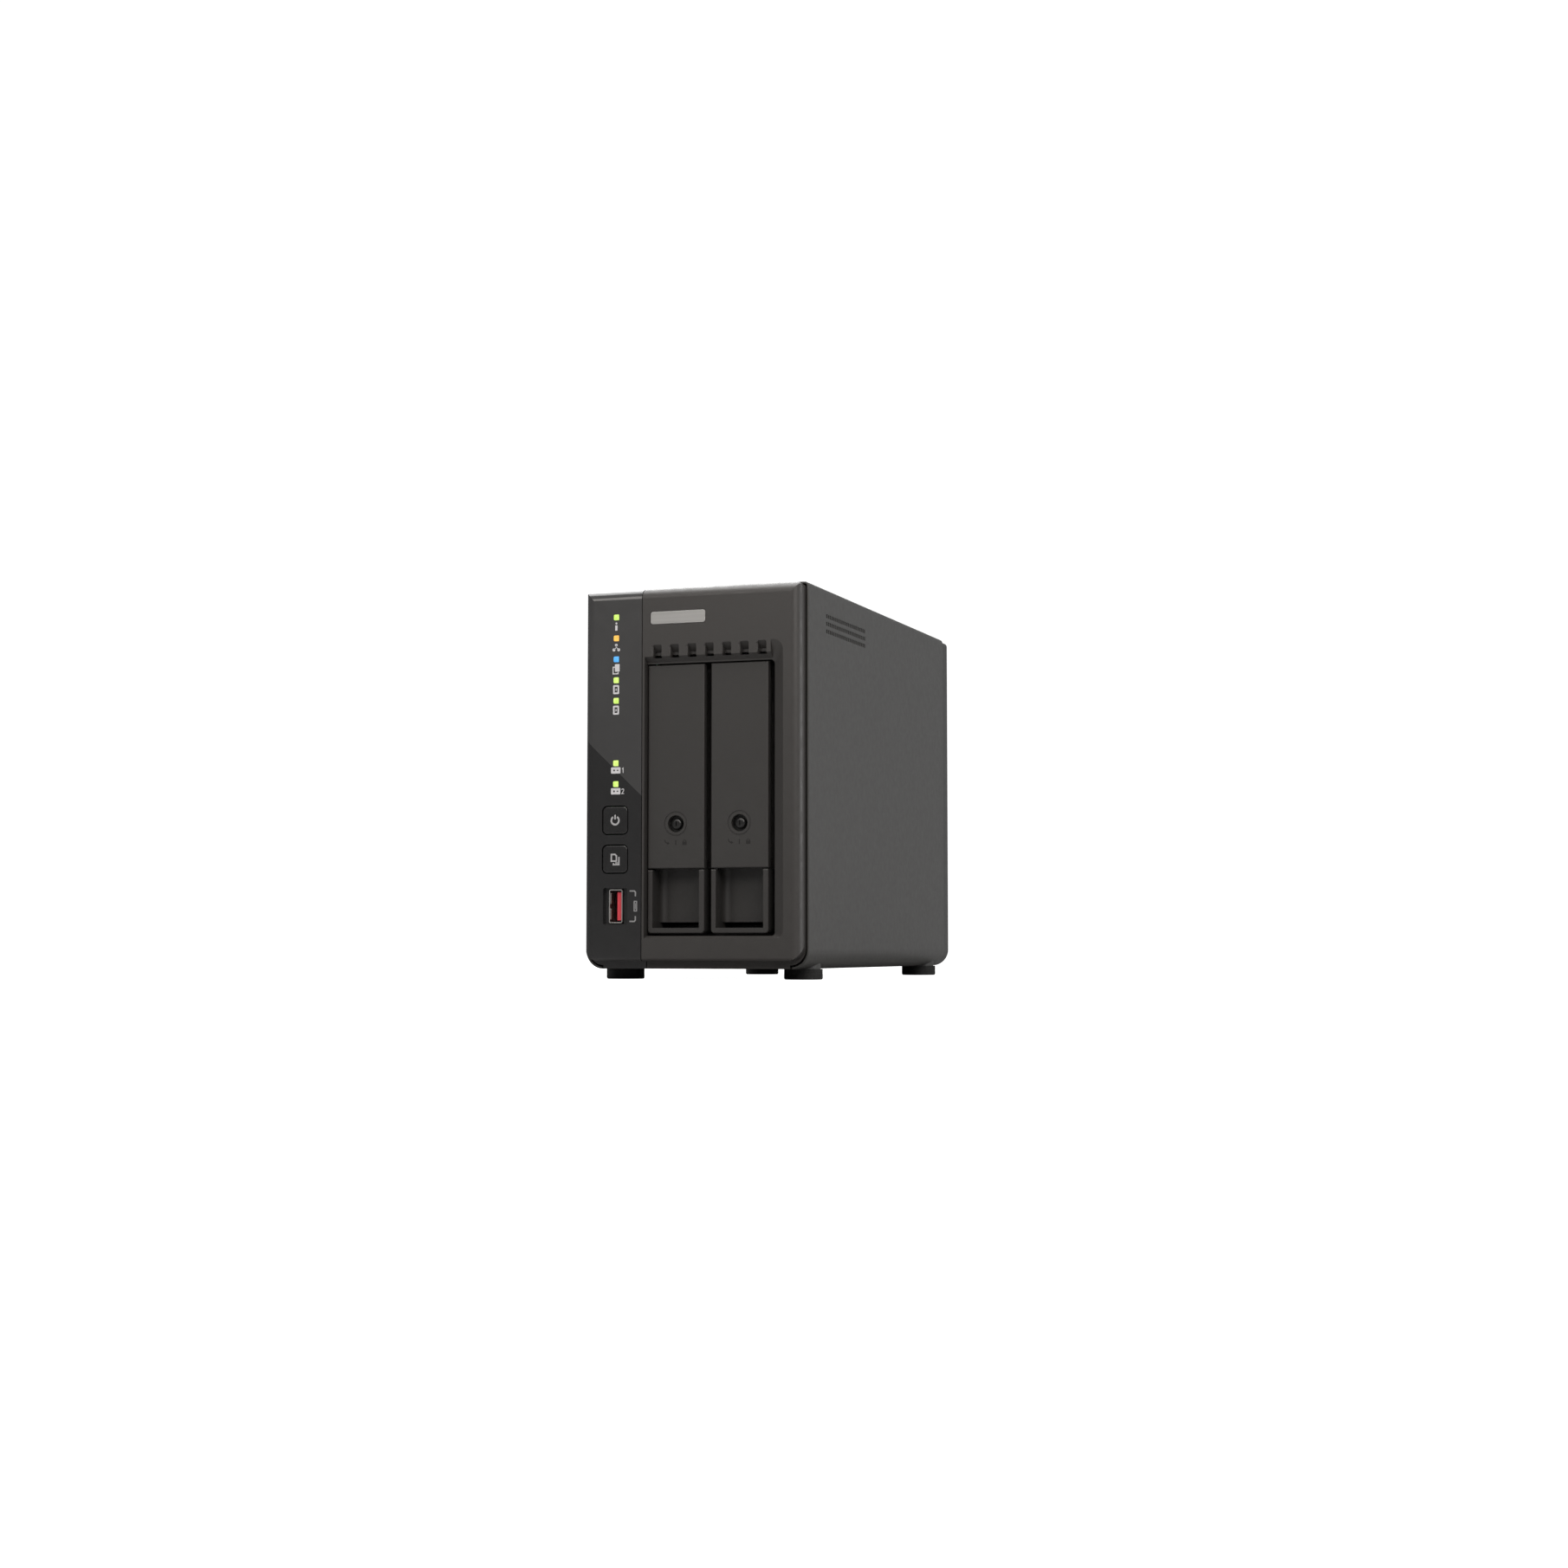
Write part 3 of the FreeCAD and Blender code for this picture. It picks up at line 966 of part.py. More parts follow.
# ---------------------------------------------------------------- all nodes
def build_nodes():
    nodes = {
        "top_cover": top_cover(),
        "base_pan": base_pan(),
        "rubber_feet": rubber_feet(),
        "front_bezel": front_bezel(),
        "control_panel": control_panel(),
        "green_light_pipes": light_pipes("green"),
        "orange_light_pipe": light_pipes("orange"),
        "blue_light_pipe": light_pipes("blue"),
        "name_badge": name_badge(),
        "power_button": push_button(BUTTON_ZS["power"]),
        "copy_button": push_button(BUTTON_ZS["copy"]),
        "front_usb_shell": front_usb_shell(),
        "front_usb_tongue": front_usb_tongue(),
        "front_board": front_board(),
        "front_switches": front_switches(),
        "ribbon_cable": ribbon_cable(),
        "ribbon_headers": ribbon_headers(),
        "rear_panel": rear_panel(),
        "fan_frame": fan_frame(),
        "fan_rotor": fan_rotor(),
        "fan_screws": fan_screws(),
        "cover_screws": cover_screws(),
        "drive_cage": drive_cage(),
        "cage_screws": cage_screws(),
        "upper_tray_guide": upper_tray_guide(),
        "lower_tray_guide": lower_tray_guide(),
        "backplane_board": backplane_board(),
        "sata_sockets": sata_sockets(),
        "backplane_connector": backplane_connector(),
        "main_board": main_board(),
        "board_standoffs": board_standoffs(),
        "board_screws": board_screws(),
        "heat_sink": heat_sink(),
        "memory_socket": memory_socket(),
        "memory_module": memory_module(),
        "coin_cell": coin_cell(),
        "coin_cell_holder": coin_cell_holder(),
        "board_chips": board_chips(),
        "board_capacitors": board_capacitors(),
        "lan_jacks": lan_jacks(),
        "rear_usb_shells": rear_usb_shells(),
        "rear_usb_tongues": rear_usb_tongues(),
        "hdmi_socket": hdmi_socket(),
        "dc_jack": dc_jack(),
        "dc_jack_pin": dc_jack_pin(),
        "reset_button": reset_button(),
    }
    for number, x in enumerate(TRAY_XS, start=1):
        nodes[f"tray_{number}_frame"] = tray_frame(x)
        nodes[f"tray_{number}_handle"] = tray_handle(x)
        nodes[f"tray_{number}_lock"] = tray_lock(x)
        nodes[f"tray_{number}_pin"] = tray_pin(x)
        nodes[f"drive_{number}_body"] = drive_body(x)
        nodes[f"drive_{number}_board"] = drive_board(x)
        nodes[f"drive_{number}_screws"] = drive_screws(x)
    return nodes


def main():
    os.makedirs("parts", exist_ok=True)
    for name, shape in build_nodes().items():
        shape.exportStep(f"parts/{name}.step")
        print(f"{name}: {len(shape.Solids)} solids, {shape.Volume:.1f} mm3, valid {shape.isValid()}")


main()
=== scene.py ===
"""Looks of the two-bay network storage box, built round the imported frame.

Metres, +Z up. The front faces -Y and +X is on the right, seen from the front.
"""
import json
import math
import random

import bmesh
import bpy
from mathutils import Matrix, Vector


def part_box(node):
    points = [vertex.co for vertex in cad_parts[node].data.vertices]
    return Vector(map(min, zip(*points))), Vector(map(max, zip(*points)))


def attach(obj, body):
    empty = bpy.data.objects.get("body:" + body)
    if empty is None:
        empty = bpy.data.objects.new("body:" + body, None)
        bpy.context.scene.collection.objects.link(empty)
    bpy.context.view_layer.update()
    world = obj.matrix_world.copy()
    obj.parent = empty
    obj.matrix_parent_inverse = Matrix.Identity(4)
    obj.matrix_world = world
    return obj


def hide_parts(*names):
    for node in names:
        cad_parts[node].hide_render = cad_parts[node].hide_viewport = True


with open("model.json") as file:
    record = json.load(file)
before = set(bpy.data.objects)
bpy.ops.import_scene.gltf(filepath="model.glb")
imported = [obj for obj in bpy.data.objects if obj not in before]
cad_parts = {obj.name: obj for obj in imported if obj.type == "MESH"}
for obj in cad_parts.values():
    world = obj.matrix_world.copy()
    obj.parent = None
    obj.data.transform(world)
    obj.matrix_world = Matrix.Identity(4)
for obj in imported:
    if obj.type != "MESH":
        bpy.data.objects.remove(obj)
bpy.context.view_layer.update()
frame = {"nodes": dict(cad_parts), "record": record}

MM = 0.001
CHASSIS = "chassis"
BAYS = (1, 2)

# A flat print stands this far ahead of the face it is on, and is sunk this far into it.
PRINT_PROUD = 0.03 * MM
PRINT_SUNK = 0.05 * MM

# Turns a flat shape, drawn as (across, up), so that it faces a side of the box.
FACING_FRONT = Matrix.Rotation(math.radians(90), 4, "X")
FACING_RIGHT = Matrix.Rotation(math.radians(90), 4, "Z") @ FACING_FRONT

# Turns a solid that stands up along +Z so that it points to a side of the box.
POINTING_BACK = Matrix.Rotation(math.radians(-90), 4, "X")
POINTING_RIGHT = Matrix.Rotation(math.radians(90), 4, "Y")


# ---------------------------------------------------------------- materials
class Surface:
    """A procedural material: a Principled shader, and textures laid over it in the frame's own space."""

    def __init__(self, name, **sockets):
        self.material = bpy.data.materials.new(name)
        self.material.use_nodes = True
        self.nodes = self.material.node_tree.nodes
        self.links = self.material.node_tree.links
        self.shader = self.nodes["Principled BSDF"]
        self.place = self.nodes.new("ShaderNodeTexCoord").outputs["Object"]
        self.normal = None
        for socket, value in sockets.items():
            self.shader.inputs[socket.replace("_", " ")].default_value = value

    def node(self, kind, inputs=None, **settings):
        """A new node; each input is a number, a colour or another node's output."""
        made = self.nodes.new(kind)
        for key, value in settings.items():
            setattr(made, key, value)
        for key, value in (inputs or {}).items():
            if isinstance(value, bpy.types.NodeSocket):
                self.links.new(value, made.inputs[key])
            else:
                made.inputs[key].default_value = value
        return made

    def stretched(self, across, deep, up):
        inputs = {"Vector": self.place, "Scale": (across, deep, up)}
        return self.node("ShaderNodeMapping", inputs).outputs["Vector"]

    def noise(self, scale, detail=2.0, place=None):
        inputs = {"Vector": place or self.place, "Scale": scale, "Detail": detail}
        return self.node("ShaderNodeTexNoise", inputs).outputs["Fac"]

    def cells(self, scale, output="Distance"):
        inputs = {"Vector": self.place, "Scale": scale}
        return self.node("ShaderNodeTexVoronoi", inputs).outputs[output]

    def spread(self, value, low, high, start=0.0, end=1.0):
        """Moves a value from the range low..high to start..end, clamped."""
        inputs = {"Value": value, "From Min": low, "From Max": high, "To Min": start, "To Max": end}
        return self.node("ShaderNodeMapRange", inputs).outputs["Result"]

    def maths(self, operation, first, second=0.0):
        return self.node("ShaderNodeMath", {0: first, 1: second}, operation=operation).outputs["Value"]

    def mixed(self, factor, first, second):
        made = self.node("ShaderNodeMix", {0: factor}, data_type="RGBA")
        for socket, value in ((made.inputs[6], first), (made.inputs[7], second)):
            if isinstance(value, bpy.types.NodeSocket):
                self.links.new(value, socket)
            else:
                socket.default_value = colour(value)
        return made.outputs[2]

    def coloured(self, source):
        self.links.new(source, self.shader.inputs["Base Color"])
        return self

    def rough(self, source):
        self.links.new(source, self.shader.inputs["Roughness"])
        return self

    def bumped(self, height, depth_mm, strength=1.0):
        inputs = {"Height": height, "Distance": depth_mm * MM, "Strength": strength}
        if self.normal:
            inputs["Normal"] = self.normal
        self.normal = self.node("ShaderNodeBump", inputs).outputs["Normal"]
        self.links.new(self.normal, self.shader.inputs["Normal"])
        return self


def colour(grey_or_rgb):
    """A linear colour with alpha, from one grey value or three."""
    if isinstance(grey_or_rgb, (int, float)):
        return (grey_or_rgb,) * 3 + (1.0,)
    return tuple(grey_or_rgb) + (1.0,)


def shaded(rgb, factor):
    return tuple(channel * factor for channel in rgb)


def moulded_plastic(name, rgb, roughness, grain_mm=0.25, depth_mm=0.012, specular=0.5):
    """Spark-eroded plastic: a fine even grain, and slow drifts of tone and gloss."""
    s = Surface(name, Specular_IOR_Level=specular)
    drift = s.spread(s.noise(35, 3.0), 0.3, 0.7)
    grain = s.noise(1.0 / (grain_mm * MM), 3.0)
    speckled = s.mixed(s.spread(grain, 0.35, 0.65), shaded(rgb, 0.88), shaded(rgb, 1.12))
    s.coloured(s.mixed(s.spread(drift, 0.0, 1.0, 0.0, 0.35), speckled, shaded(rgb, 0.9)))
    s.rough(s.spread(s.noise(260, 3.0), 0.3, 0.7, roughness - 0.05, roughness + 0.05))
    s.bumped(grain, depth_mm)
    return s.material


def powder_paint(name, rgb, roughness):
    """Stoved powder coat on steel: fine orange peel and a slight sparkle."""
    s = Surface(name, Specular_IOR_Level=0.45)
    peel = s.noise(1600, 3.0)
    speck = s.cells(2600, "Color")
    fleck = s.node("ShaderNodeSeparateColor", {"Color": speck}).outputs["Red"]
    tone = s.mixed(s.spread(fleck, 0.0, 1.0), shaded(rgb, 0.96), shaded(rgb, 1.04))
    s.coloured(s.mixed(s.spread(s.noise(14, 2.0), 0.35, 0.65, 0.0, 0.4), tone, shaded(rgb, 0.97)))
    s.rough(s.spread(s.noise(420, 2.0), 0.3, 0.7, roughness - 0.02, roughness + 0.03))
    s.bumped(peel, 0.008).bumped(s.noise(5200, 1.0), 0.004)
    return s.material


def gloss_plastic(name, base, roughness=0.16):
    """Polished plastic under a clear coat; base is a colour or a node that gives one."""
    s = Surface(name, Specular_IOR_Level=0.4, Coat_Weight=0.35, Coat_Roughness=0.06)
    tint = base(s) if callable(base) else s.mixed(s.spread(s.noise(60), 0.3, 0.7), base, shaded(base, 0.85))
    s.coloured(tint)
    s.rough(s.spread(s.noise(180, 4.0), 0.35, 0.75, roughness, roughness + 0.07))
    s.bumped(s.noise(40, 2.0), 0.01)
    return s.material


def brushed_metal(name, rgb, roughness, along="across", depth_mm=0.003):
    """Metal with fine lines along one direction."""
    long, short = 30.0, 2600.0
    scales = {"across": (long, short, short), "deep": (short, long, short), "up": (short, short, long)}[along]
    s = Surface(name, Metallic=1.0)
    lines = s.noise(1.0, 3.0, s.stretched(*scales))
    s.coloured(s.mixed(s.spread(lines, 0.3, 0.7), shaded(rgb, 0.86), rgb))
    s.rough(s.spread(lines, 0.3, 0.7, roughness - 0.06, roughness + 0.08))
    s.bumped(lines, depth_mm)
    return s.material


def spangled_zinc(name, rgb, roughness):
    """Galvanised sheet: crystals a few millimetres across, each with its own tone and gloss."""
    s = Surface(name, Metallic=1.0)
    crystal = s.cells(240, "Color")
    tone = s.node("ShaderNodeSeparateColor", {"Color": crystal}).outputs["Red"]
    s.coloured(s.mixed(tone, shaded(rgb, 0.72), rgb))
    s.rough(s.spread(tone, 0.0, 1.0, roughness - 0.08, roughness + 0.1))
    s.bumped(s.noise(900, 3.0), 0.006)
    return s.material


def cast_metal(name, rgb, roughness):
    """Die-cast aluminium: pebbled, with a few darker flow marks."""
    s = Surface(name, Metallic=0.9)
    flow = s.noise(90, 4.0, s.stretched(1.0, 0.35, 1.0))
    s.coloured(s.mixed(s.spread(flow, 0.35, 0.7), shaded(rgb, 0.8), rgb))
    s.rough(s.spread(s.noise(700, 3.0), 0.3, 0.7, roughness - 0.07, roughness + 0.09))
    s.bumped(s.noise(1400, 3.0), 0.03)
    return s.material


def moulded_rubber(name, rgb):
    s = Surface(name, Specular_IOR_Level=0.3)
    grain = s.noise(1800, 4.0)
    s.coloured(s.mixed(s.spread(grain, 0.3, 0.7), shaded(rgb, 0.75), shaded(rgb, 1.3)))
    s.rough(s.spread(s.noise(300, 3.0), 0.3, 0.7, 0.72, 0.9))
    s.bumped(grain, 0.03)
    return s.material


def circuit_board(name, mask, track):
    """Solder mask over copper: straight tracks in two directions and small round vias."""
    s = Surface(name, Specular_IOR_Level=0.5, Coat_Weight=0.3, Coat_Roughness=0.15)
    axis = s.node("ShaderNodeSeparateXYZ", {"Vector": s.place})
    field = s.noise(90, 0.0)
    bend = s.spread(s.cells(70, "Color"), 0.45, 0.5)
    tracks = []
    for output in ("Y", "Z"):
        wave = s.maths("SINE", s.maths("MULTIPLY", axis.outputs[output], 2 * math.pi / (1.3 * MM)))
        tracks.append(s.spread(wave, 0.35, 0.55))
    line = s.maths("ADD", s.maths("MULTIPLY", tracks[0], bend),
                   s.maths("MULTIPLY", tracks[1], s.maths("SUBTRACT", 1.0, bend)))
    shown = s.maths("MULTIPLY", line, s.spread(field, 0.44, 0.5))
    via = s.spread(s.cells(330), 0.12, 0.16, 1.0, 0.0)
    relief = s.maths("MAXIMUM", shown, via)
    s.coloured(s.mixed(relief, mask, track))
    s.rough(s.spread(s.noise(200), 0.3, 0.7, 0.28, 0.42))
    s.bumped(relief, 0.035)
    return s.material


def ribbon(name, rgb):
    """Flat cable: round conductors side by side, along the box, with painted shade in the grooves between
    them.
    """
    s = Surface(name, Specular_IOR_Level=0.4)
    height = s.node("ShaderNodeSeparateXYZ", {"Vector": s.place}).outputs["Z"]
    wave = s.maths("SINE", s.maths("MULTIPLY", height, 2 * math.pi / (1.27 * MM)))
    # Painted shade: the colour is darker in the grooves between the round conductors.
    s.coloured(s.mixed(s.spread(wave, -1.0, 1.0), shaded(rgb, 0.6), rgb))
    s.rough(s.spread(s.noise(400), 0.3, 0.7, 0.45, 0.6))
    s.bumped(wave, 0.2)
    return s.material


def lamp(name, rim, core, brightness):
    """A lit lens, a little uneven where the light spreads in it."""
    s = Surface(name, Roughness=0.3, Emission_Strength=brightness)
    glow = s.spread(s.noise(900, 2.0), 0.35, 0.65)
    s.coloured(s.mixed(glow, shaded(rim, 0.3), shaded(core, 0.3)))
    s.links.new(s.mixed(glow, rim, core), s.shader.inputs["Emission Color"])
    return s.material


def print_and_shade_ink(name, rgb, roughness=0.55):
    """Screen print: slightly uneven film with a soft surface; also used for the dark sheets that paint the
    shade of the locks' moulded marks.
    """
    s = Surface(name, Specular_IOR_Level=0.3)
    film = s.noise(2600, 3.0)
    s.coloured(s.mixed(s.spread(film, 0.3, 0.7), shaded(rgb, 0.9), rgb))
    s.rough(s.spread(film, 0.3, 0.7, roughness - 0.05, roughness + 0.08))
    s.bumped(film, 0.004)
    return s.material


# Upper and lower ends of the line that splits the panel's two tones, as (across, up) in millimetres; the
# lighter tone above it is partly the panel's two-tone design and partly a painted reflection band.
SPLIT_LEFT = (-47.5, 102.0)
SPLIT_RIGHT = (-22.0, 78.0)
PANEL_UPPER_TONE_AND_REFLECTION = (0.052, 0.052, 0.0525)
PANEL_DARK = (0.0195, 0.0195, 0.020)


def panel_tones_and_reflection(s):
    """The panel's tint: lighter above a slanted line across it, and darker below; the lighter part is partly
    a two-tone design and partly a painted reflection band on the gloss.
    """
    slope = (SPLIT_RIGHT[1] - SPLIT_LEFT[1]) / (SPLIT_RIGHT[0] - SPLIT_LEFT[0])
    level = (SPLIT_LEFT[1] - slope * SPLIT_LEFT[0]) * MM
    place = s.node("ShaderNodeSeparateXYZ", {"Vector": s.place})
    above = s.maths("SUBTRACT", place.outputs["Z"], s.maths("MULTIPLY", place.outputs["X"], slope))
    side = s.spread(above, level - 0.1 * MM, level + 0.1 * MM)
    # Painted reflection: the lighter upper tone also stands in for a reflection band across the glossy panel.
    light = s.mixed(s.spread(s.noise(30), 0.35, 0.65), PANEL_UPPER_TONE_AND_REFLECTION, shaded(PANEL_UPPER_TONE_AND_REFLECTION, 0.94))
    return s.mixed(side, PANEL_DARK, light)


def build_materials():
    """One material per slot of the record, and those of the added pieces; colours are linear."""
    return {
        "cover_paint": powder_paint("cover_paint", (0.047, 0.047, 0.0455), 0.5),
        "rear_paint": powder_paint("rear_paint", (0.030, 0.030, 0.0295), 0.5),
        "bezel_plastic": moulded_plastic("bezel_plastic", (0.0345, 0.0325, 0.031), 0.42),
        "panel_gloss": gloss_plastic("panel_gloss", panel_tones_and_reflection),
        "button_gloss": gloss_plastic("button_gloss", (0.0165, 0.0165, 0.017), 0.2),
        "handle_plastic": moulded_plastic("handle_plastic", (0.028, 0.0268, 0.0257), 0.47),
        "tray_plastic": moulded_plastic("tray_plastic", (0.027, 0.0257, 0.0247), 0.5),
        "lock_black": moulded_plastic("lock_black", (0.008, 0.008, 0.008), 0.3, 0.4, 0.006),
        "foot_rubber": moulded_rubber("foot_rubber", (0.02, 0.02, 0.02)),
        "light_green": lamp("light_green", (0.52, 0.78, 0.13), (0.70, 0.95, 0.24), 0.92),
        "light_orange": lamp("light_orange", (0.85, 0.43, 0.07), (0.97, 0.56, 0.11), 0.92),
        "light_blue": lamp("light_blue", (0.08, 0.38, 0.85), (0.12, 0.48, 0.95), 0.92),
        "light_green_dim": lamp("light_green_dim", (0.12, 0.30, 0.05), (0.2, 0.42, 0.08), 0.25),
        "light_orange_dim": lamp("light_orange_dim", (0.35, 0.15, 0.03), (0.5, 0.25, 0.06), 0.25),
        "badge_metal": brushed_metal("badge_metal", (0.46, 0.46, 0.45), 0.45),
        "port_steel": brushed_metal("port_steel", (0.62, 0.61, 0.59), 0.3, "up", 0.001),
        "screw_steel": brushed_metal("screw_steel", (0.42, 0.41, 0.40), 0.34, "up"),
        "zinc_steel": spangled_zinc("zinc_steel", (0.55, 0.56, 0.57), 0.4),
        "sink_aluminium": brushed_metal("sink_aluminium", (0.70, 0.71, 0.72), 0.36, "deep"),
        "standoff_brass": brushed_metal("standoff_brass", (0.78, 0.55, 0.22), 0.28, "across"),
        "usb_red": moulded_plastic("usb_red", (0.62, 0.05, 0.07), 0.38, 0.3, 0.004),
        # Painted shade: the same red plastic as the tongue, darkened for the shade deep inside the front
        # port.
        "usb_red_in_painted_shade": moulded_plastic("usb_red_in_painted_shade", (0.030, 0.006, 0.010), 0.6, 0.3, 0.002),
        "usb_blue": moulded_plastic("usb_blue", (0.02, 0.12, 0.5), 0.38, 0.3, 0.006),
        "board_green": circuit_board("board_green", (0.012, 0.060, 0.022), (0.035, 0.16, 0.055)),
        "chip_black": moulded_plastic("chip_black", (0.018, 0.018, 0.019), 0.5, 0.12, 0.006),
        "connector_black": moulded_plastic("connector_black", (0.015, 0.015, 0.015), 0.45, 0.3, 0.008),
        "ribbon_grey": ribbon("ribbon_grey", (0.36, 0.36, 0.37)),
        "fan_black": moulded_plastic("fan_black", (0.016, 0.016, 0.0165), 0.36, 0.5, 0.008),
        "drive_cast": cast_metal("drive_cast", (0.50, 0.51, 0.52), 0.42),
        "print_white": print_and_shade_ink("print_white", (0.62, 0.62, 0.64)),
        "print_grey": print_and_shade_ink("print_grey", (0.40, 0.40, 0.41)),
        "port_print": print_and_shade_ink("port_print", (0.26, 0.26, 0.265)),
        # Painted shade: the lock marks are moulded in the handle's own colour, and this dark stands in for
        # the shade in their relief.
        "moulded_mark_shade": print_and_shade_ink("moulded_mark_shade", (0.016, 0.0155, 0.015)),
        "label_paper": print_and_shade_ink("label_paper", (0.66, 0.67, 0.68), 0.4),
        "band_blue": print_and_shade_ink("band_blue", (0.10, 0.16, 0.25)),
        "gold_contact": brushed_metal("gold_contact", (0.90, 0.62, 0.22), 0.25, "deep"),
    }


# ---------------------------------------------------------------- flat shapes, in millimetres
def rectangle(x, z, wide, tall, radius=0.0, steps=5):
    """Outline of a rectangle about a centre, with rounded corners where it has a radius."""
    half_wide, half_tall = wide / 2 - radius, tall / 2 - radius
    points = []
    for corner, (sx, sz) in enumerate(((1, 1), (-1, 1), (-1, -1), (1, -1))):
        for step in range(steps + 1 if radius else 1):
            angle = math.radians(90 * (corner + step / steps))
            points.append((x + sx * half_wide + radius * math.cos(angle),
                           z + sz * half_tall + radius * math.sin(angle)))
    return points


def disc(x, z, radius, steps=28):
    turns = [2 * math.pi * step / steps for step in range(steps)]
    return [(x + radius * math.cos(turn), z + radius * math.sin(turn)) for turn in turns]


def frame_outline(x, z, wide, tall, width, radius=0.4):
    """Outer and inner outlines of a rectangular frame."""
    return [rectangle(x, z, wide, tall, radius),
            rectangle(x, z, wide - 2 * width, tall - 2 * width, max(radius - width, 0.05))]


def bent_band(points, width):
    """Outline of a band of even width that follows a line of points with square turns."""
    left, right = [], []
    for index, point in enumerate(points):
        here = Vector(point)
        before = (here - Vector(points[index - 1])).normalized() if index else None
        after = (Vector(points[index + 1]) - here).normalized() if index + 1 < len(points) else None
        before, after = before or after, after or before
        middle = (before + after).normalized()
        normal = Vector((-middle.y, middle.x))
        reach = width / 2 / max(normal.dot(Vector((-before.y, before.x))), 0.3)
        left.append(tuple(here + normal * reach))
        right.append(tuple(here - normal * reach))
    return left + right[::-1]


def arc_points(x, z, radius, start, end, steps=24):
    turns = [math.radians(start + (end - start) * step / steps) for step in range(steps + 1)]
    return [(x + radius * math.cos(turn), z + radius * math.sin(turn)) for turn in turns]


def moved(groups, x, z):
    """Groups of outlines, shifted."""
    return [[[(px + x, pz + z) for px, pz in outline] for outline in group] for group in groups]


# ---------------------------------------------------------------- pieces
def as_mesh(made, name):
    """The mesh of a finished bmesh, which is then let go."""
    mesh = bpy.data.meshes.new(name)
    made.to_mesh(mesh)
    made.free()
    return mesh


def finished(piece, body, material):
    """Puts a new piece on its body and material."""
    bpy.context.scene.collection.objects.link(piece)
    piece.data.materials.clear()
    piece.data.materials.append(MATERIALS[material])
    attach(piece, body)
    return piece


def closed_mesh(name, mesh):
    """Joins points that coincide and turns every face outwards."""
    made = bmesh.new()
    made.from_mesh(mesh)
    bmesh.ops.remove_doubles(made, verts=made.verts, dist=1e-7)
    bmesh.ops.recalc_face_normals(made, faces=made.faces)
    made.to_mesh(mesh)
    made.free()
    mesh.name = name
    return bpy.data.objects.new(name, mesh)


def plate(name, groups, facing, depth, at, thickness=PRINT_PROUD + PRINT_SUNK, sunk=PRINT_SUNK):
    """Flat shapes cut out of a thin sheet. Each group is an outer outline followed by its holes.

    depth is where the face that it lies on is, along the outward direction, and at is the shapes' origin.
    """
    sheet = bmesh.new()
    for group in groups:
        curve = bpy.data.curves.new(name, "CURVE")
        curve.dimensions, curve.fill_mode = "2D", "BOTH"
        curve.extrude = thickness / 2
        for outline in group:
            spline = curve.splines.new("POLY")
            spline.points.add(len(outline) - 1)
            for point, (x, z) in zip(spline.points, outline):
                point.co = ((x + at[0]) * MM, (z + at[1]) * MM, 0, 1)
            spline.use_cyclic_u = True
        holder = bpy.data.objects.new(name, curve)
        mesh = bpy.data.meshes.new_from_object(holder)
        sheet.from_mesh(mesh)
        bpy.data.objects.remove(holder)
        bpy.data.curves.remove(curve)
        bpy.data.meshes.remove(mesh)
    mesh = as_mesh(sheet, name)
    mesh.transform(Matrix.Translation((0, 0, depth - sunk + thickness / 2)))
    mesh.transform(facing)
    return closed_mesh(name, mesh)


def turned(name, profile, steps=40):
    """A closed solid turned about +Z from (radius, height) points in millimetres.

    The first and the last point lie on the axis.
    """
    made = bmesh.new()
    rings = []
    for radius, height in profile:
        if radius == 0:
            rings.append([made.verts.new((0, 0, height * MM))])
            continue
        turns = [2 * math.pi * step / steps for step in range(steps)]
        rings.append([made.verts.new((radius * math.cos(t) * MM, radius * math.sin(t) * MM, height * MM))
                      for t in turns])
    for lower, upper in zip(rings, rings[1:]):
        for step in range(steps):
            following = (step + 1) % steps
            corners = [lower[step % len(lower)], lower[following % len(lower)],
                       upper[following % len(upper)], upper[step % len(upper)]]
            made.faces.new(list(dict.fromkeys(corners)))
    return closed_mesh(name, as_mesh(made, name))


def block(low, high):
    """A box between two corners, in metres, as a mesh that others are cut or joined with."""
    made = bmesh.new()
    bmesh.ops.create_cube(made, size=1.0)
    low, high = Vector(low), Vector(high)
    size = Matrix.Diagonal((*(high - low), 1.0))
    made.transform(Matrix.Translation((low + high) / 2) @ size)
    return as_mesh(made, "block")


def joined(name, meshes):
    made = bmesh.new()
    for mesh in meshes:
        made.from_mesh(mesh)
        bpy.data.meshes.remove(mesh)
    return bpy.data.objects.new(name, as_mesh(made, name))


def rounded(piece, width_mm, segments=2):
    """Small roundings on a piece's hard edges."""
    bevel = piece.modifiers.new("rounded", "BEVEL")
    bevel.width, bevel.segments = width_mm * MM, segments
    bevel.limit_method, bevel.angle_limit = "ANGLE", math.radians(35)
    bevel.use_clamp_overlap = True
    return piece


def cut(piece, cutter):
    """Takes the cutter's mesh out of the piece for good."""
    scene = bpy.context.scene.collection
    tool = bpy.data.objects.new("cutter", cutter)
    for holder in (piece, tool):
        scene.objects.link(holder)
    modifier = piece.modifiers.new("cut", "BOOLEAN")
    modifier.operation, modifier.solver, modifier.object = "DIFFERENCE", "EXACT", tool
    bpy.context.view_layer.update()
    result = bpy.data.meshes.new_from_object(piece.evaluated_get(bpy.context.evaluated_depsgraph_get()))
    piece.modifiers.clear()
    piece.data = result
    bpy.data.objects.remove(tool)
    scene.objects.unlink(piece)
    return piece


def smooth(piece, angle=35):
    """Smooth shading, with edges sharper than the angle kept."""
    piece.data.shade_smooth()
    made = bmesh.new()
    made.from_mesh(piece.data)
    for edge in made.edges:
        if len(edge.link_faces) == 2 and edge.calc_face_angle() > math.radians(angle):
            edge.smooth = False
    made.to_mesh(piece.data)
    made.free()
    return piece


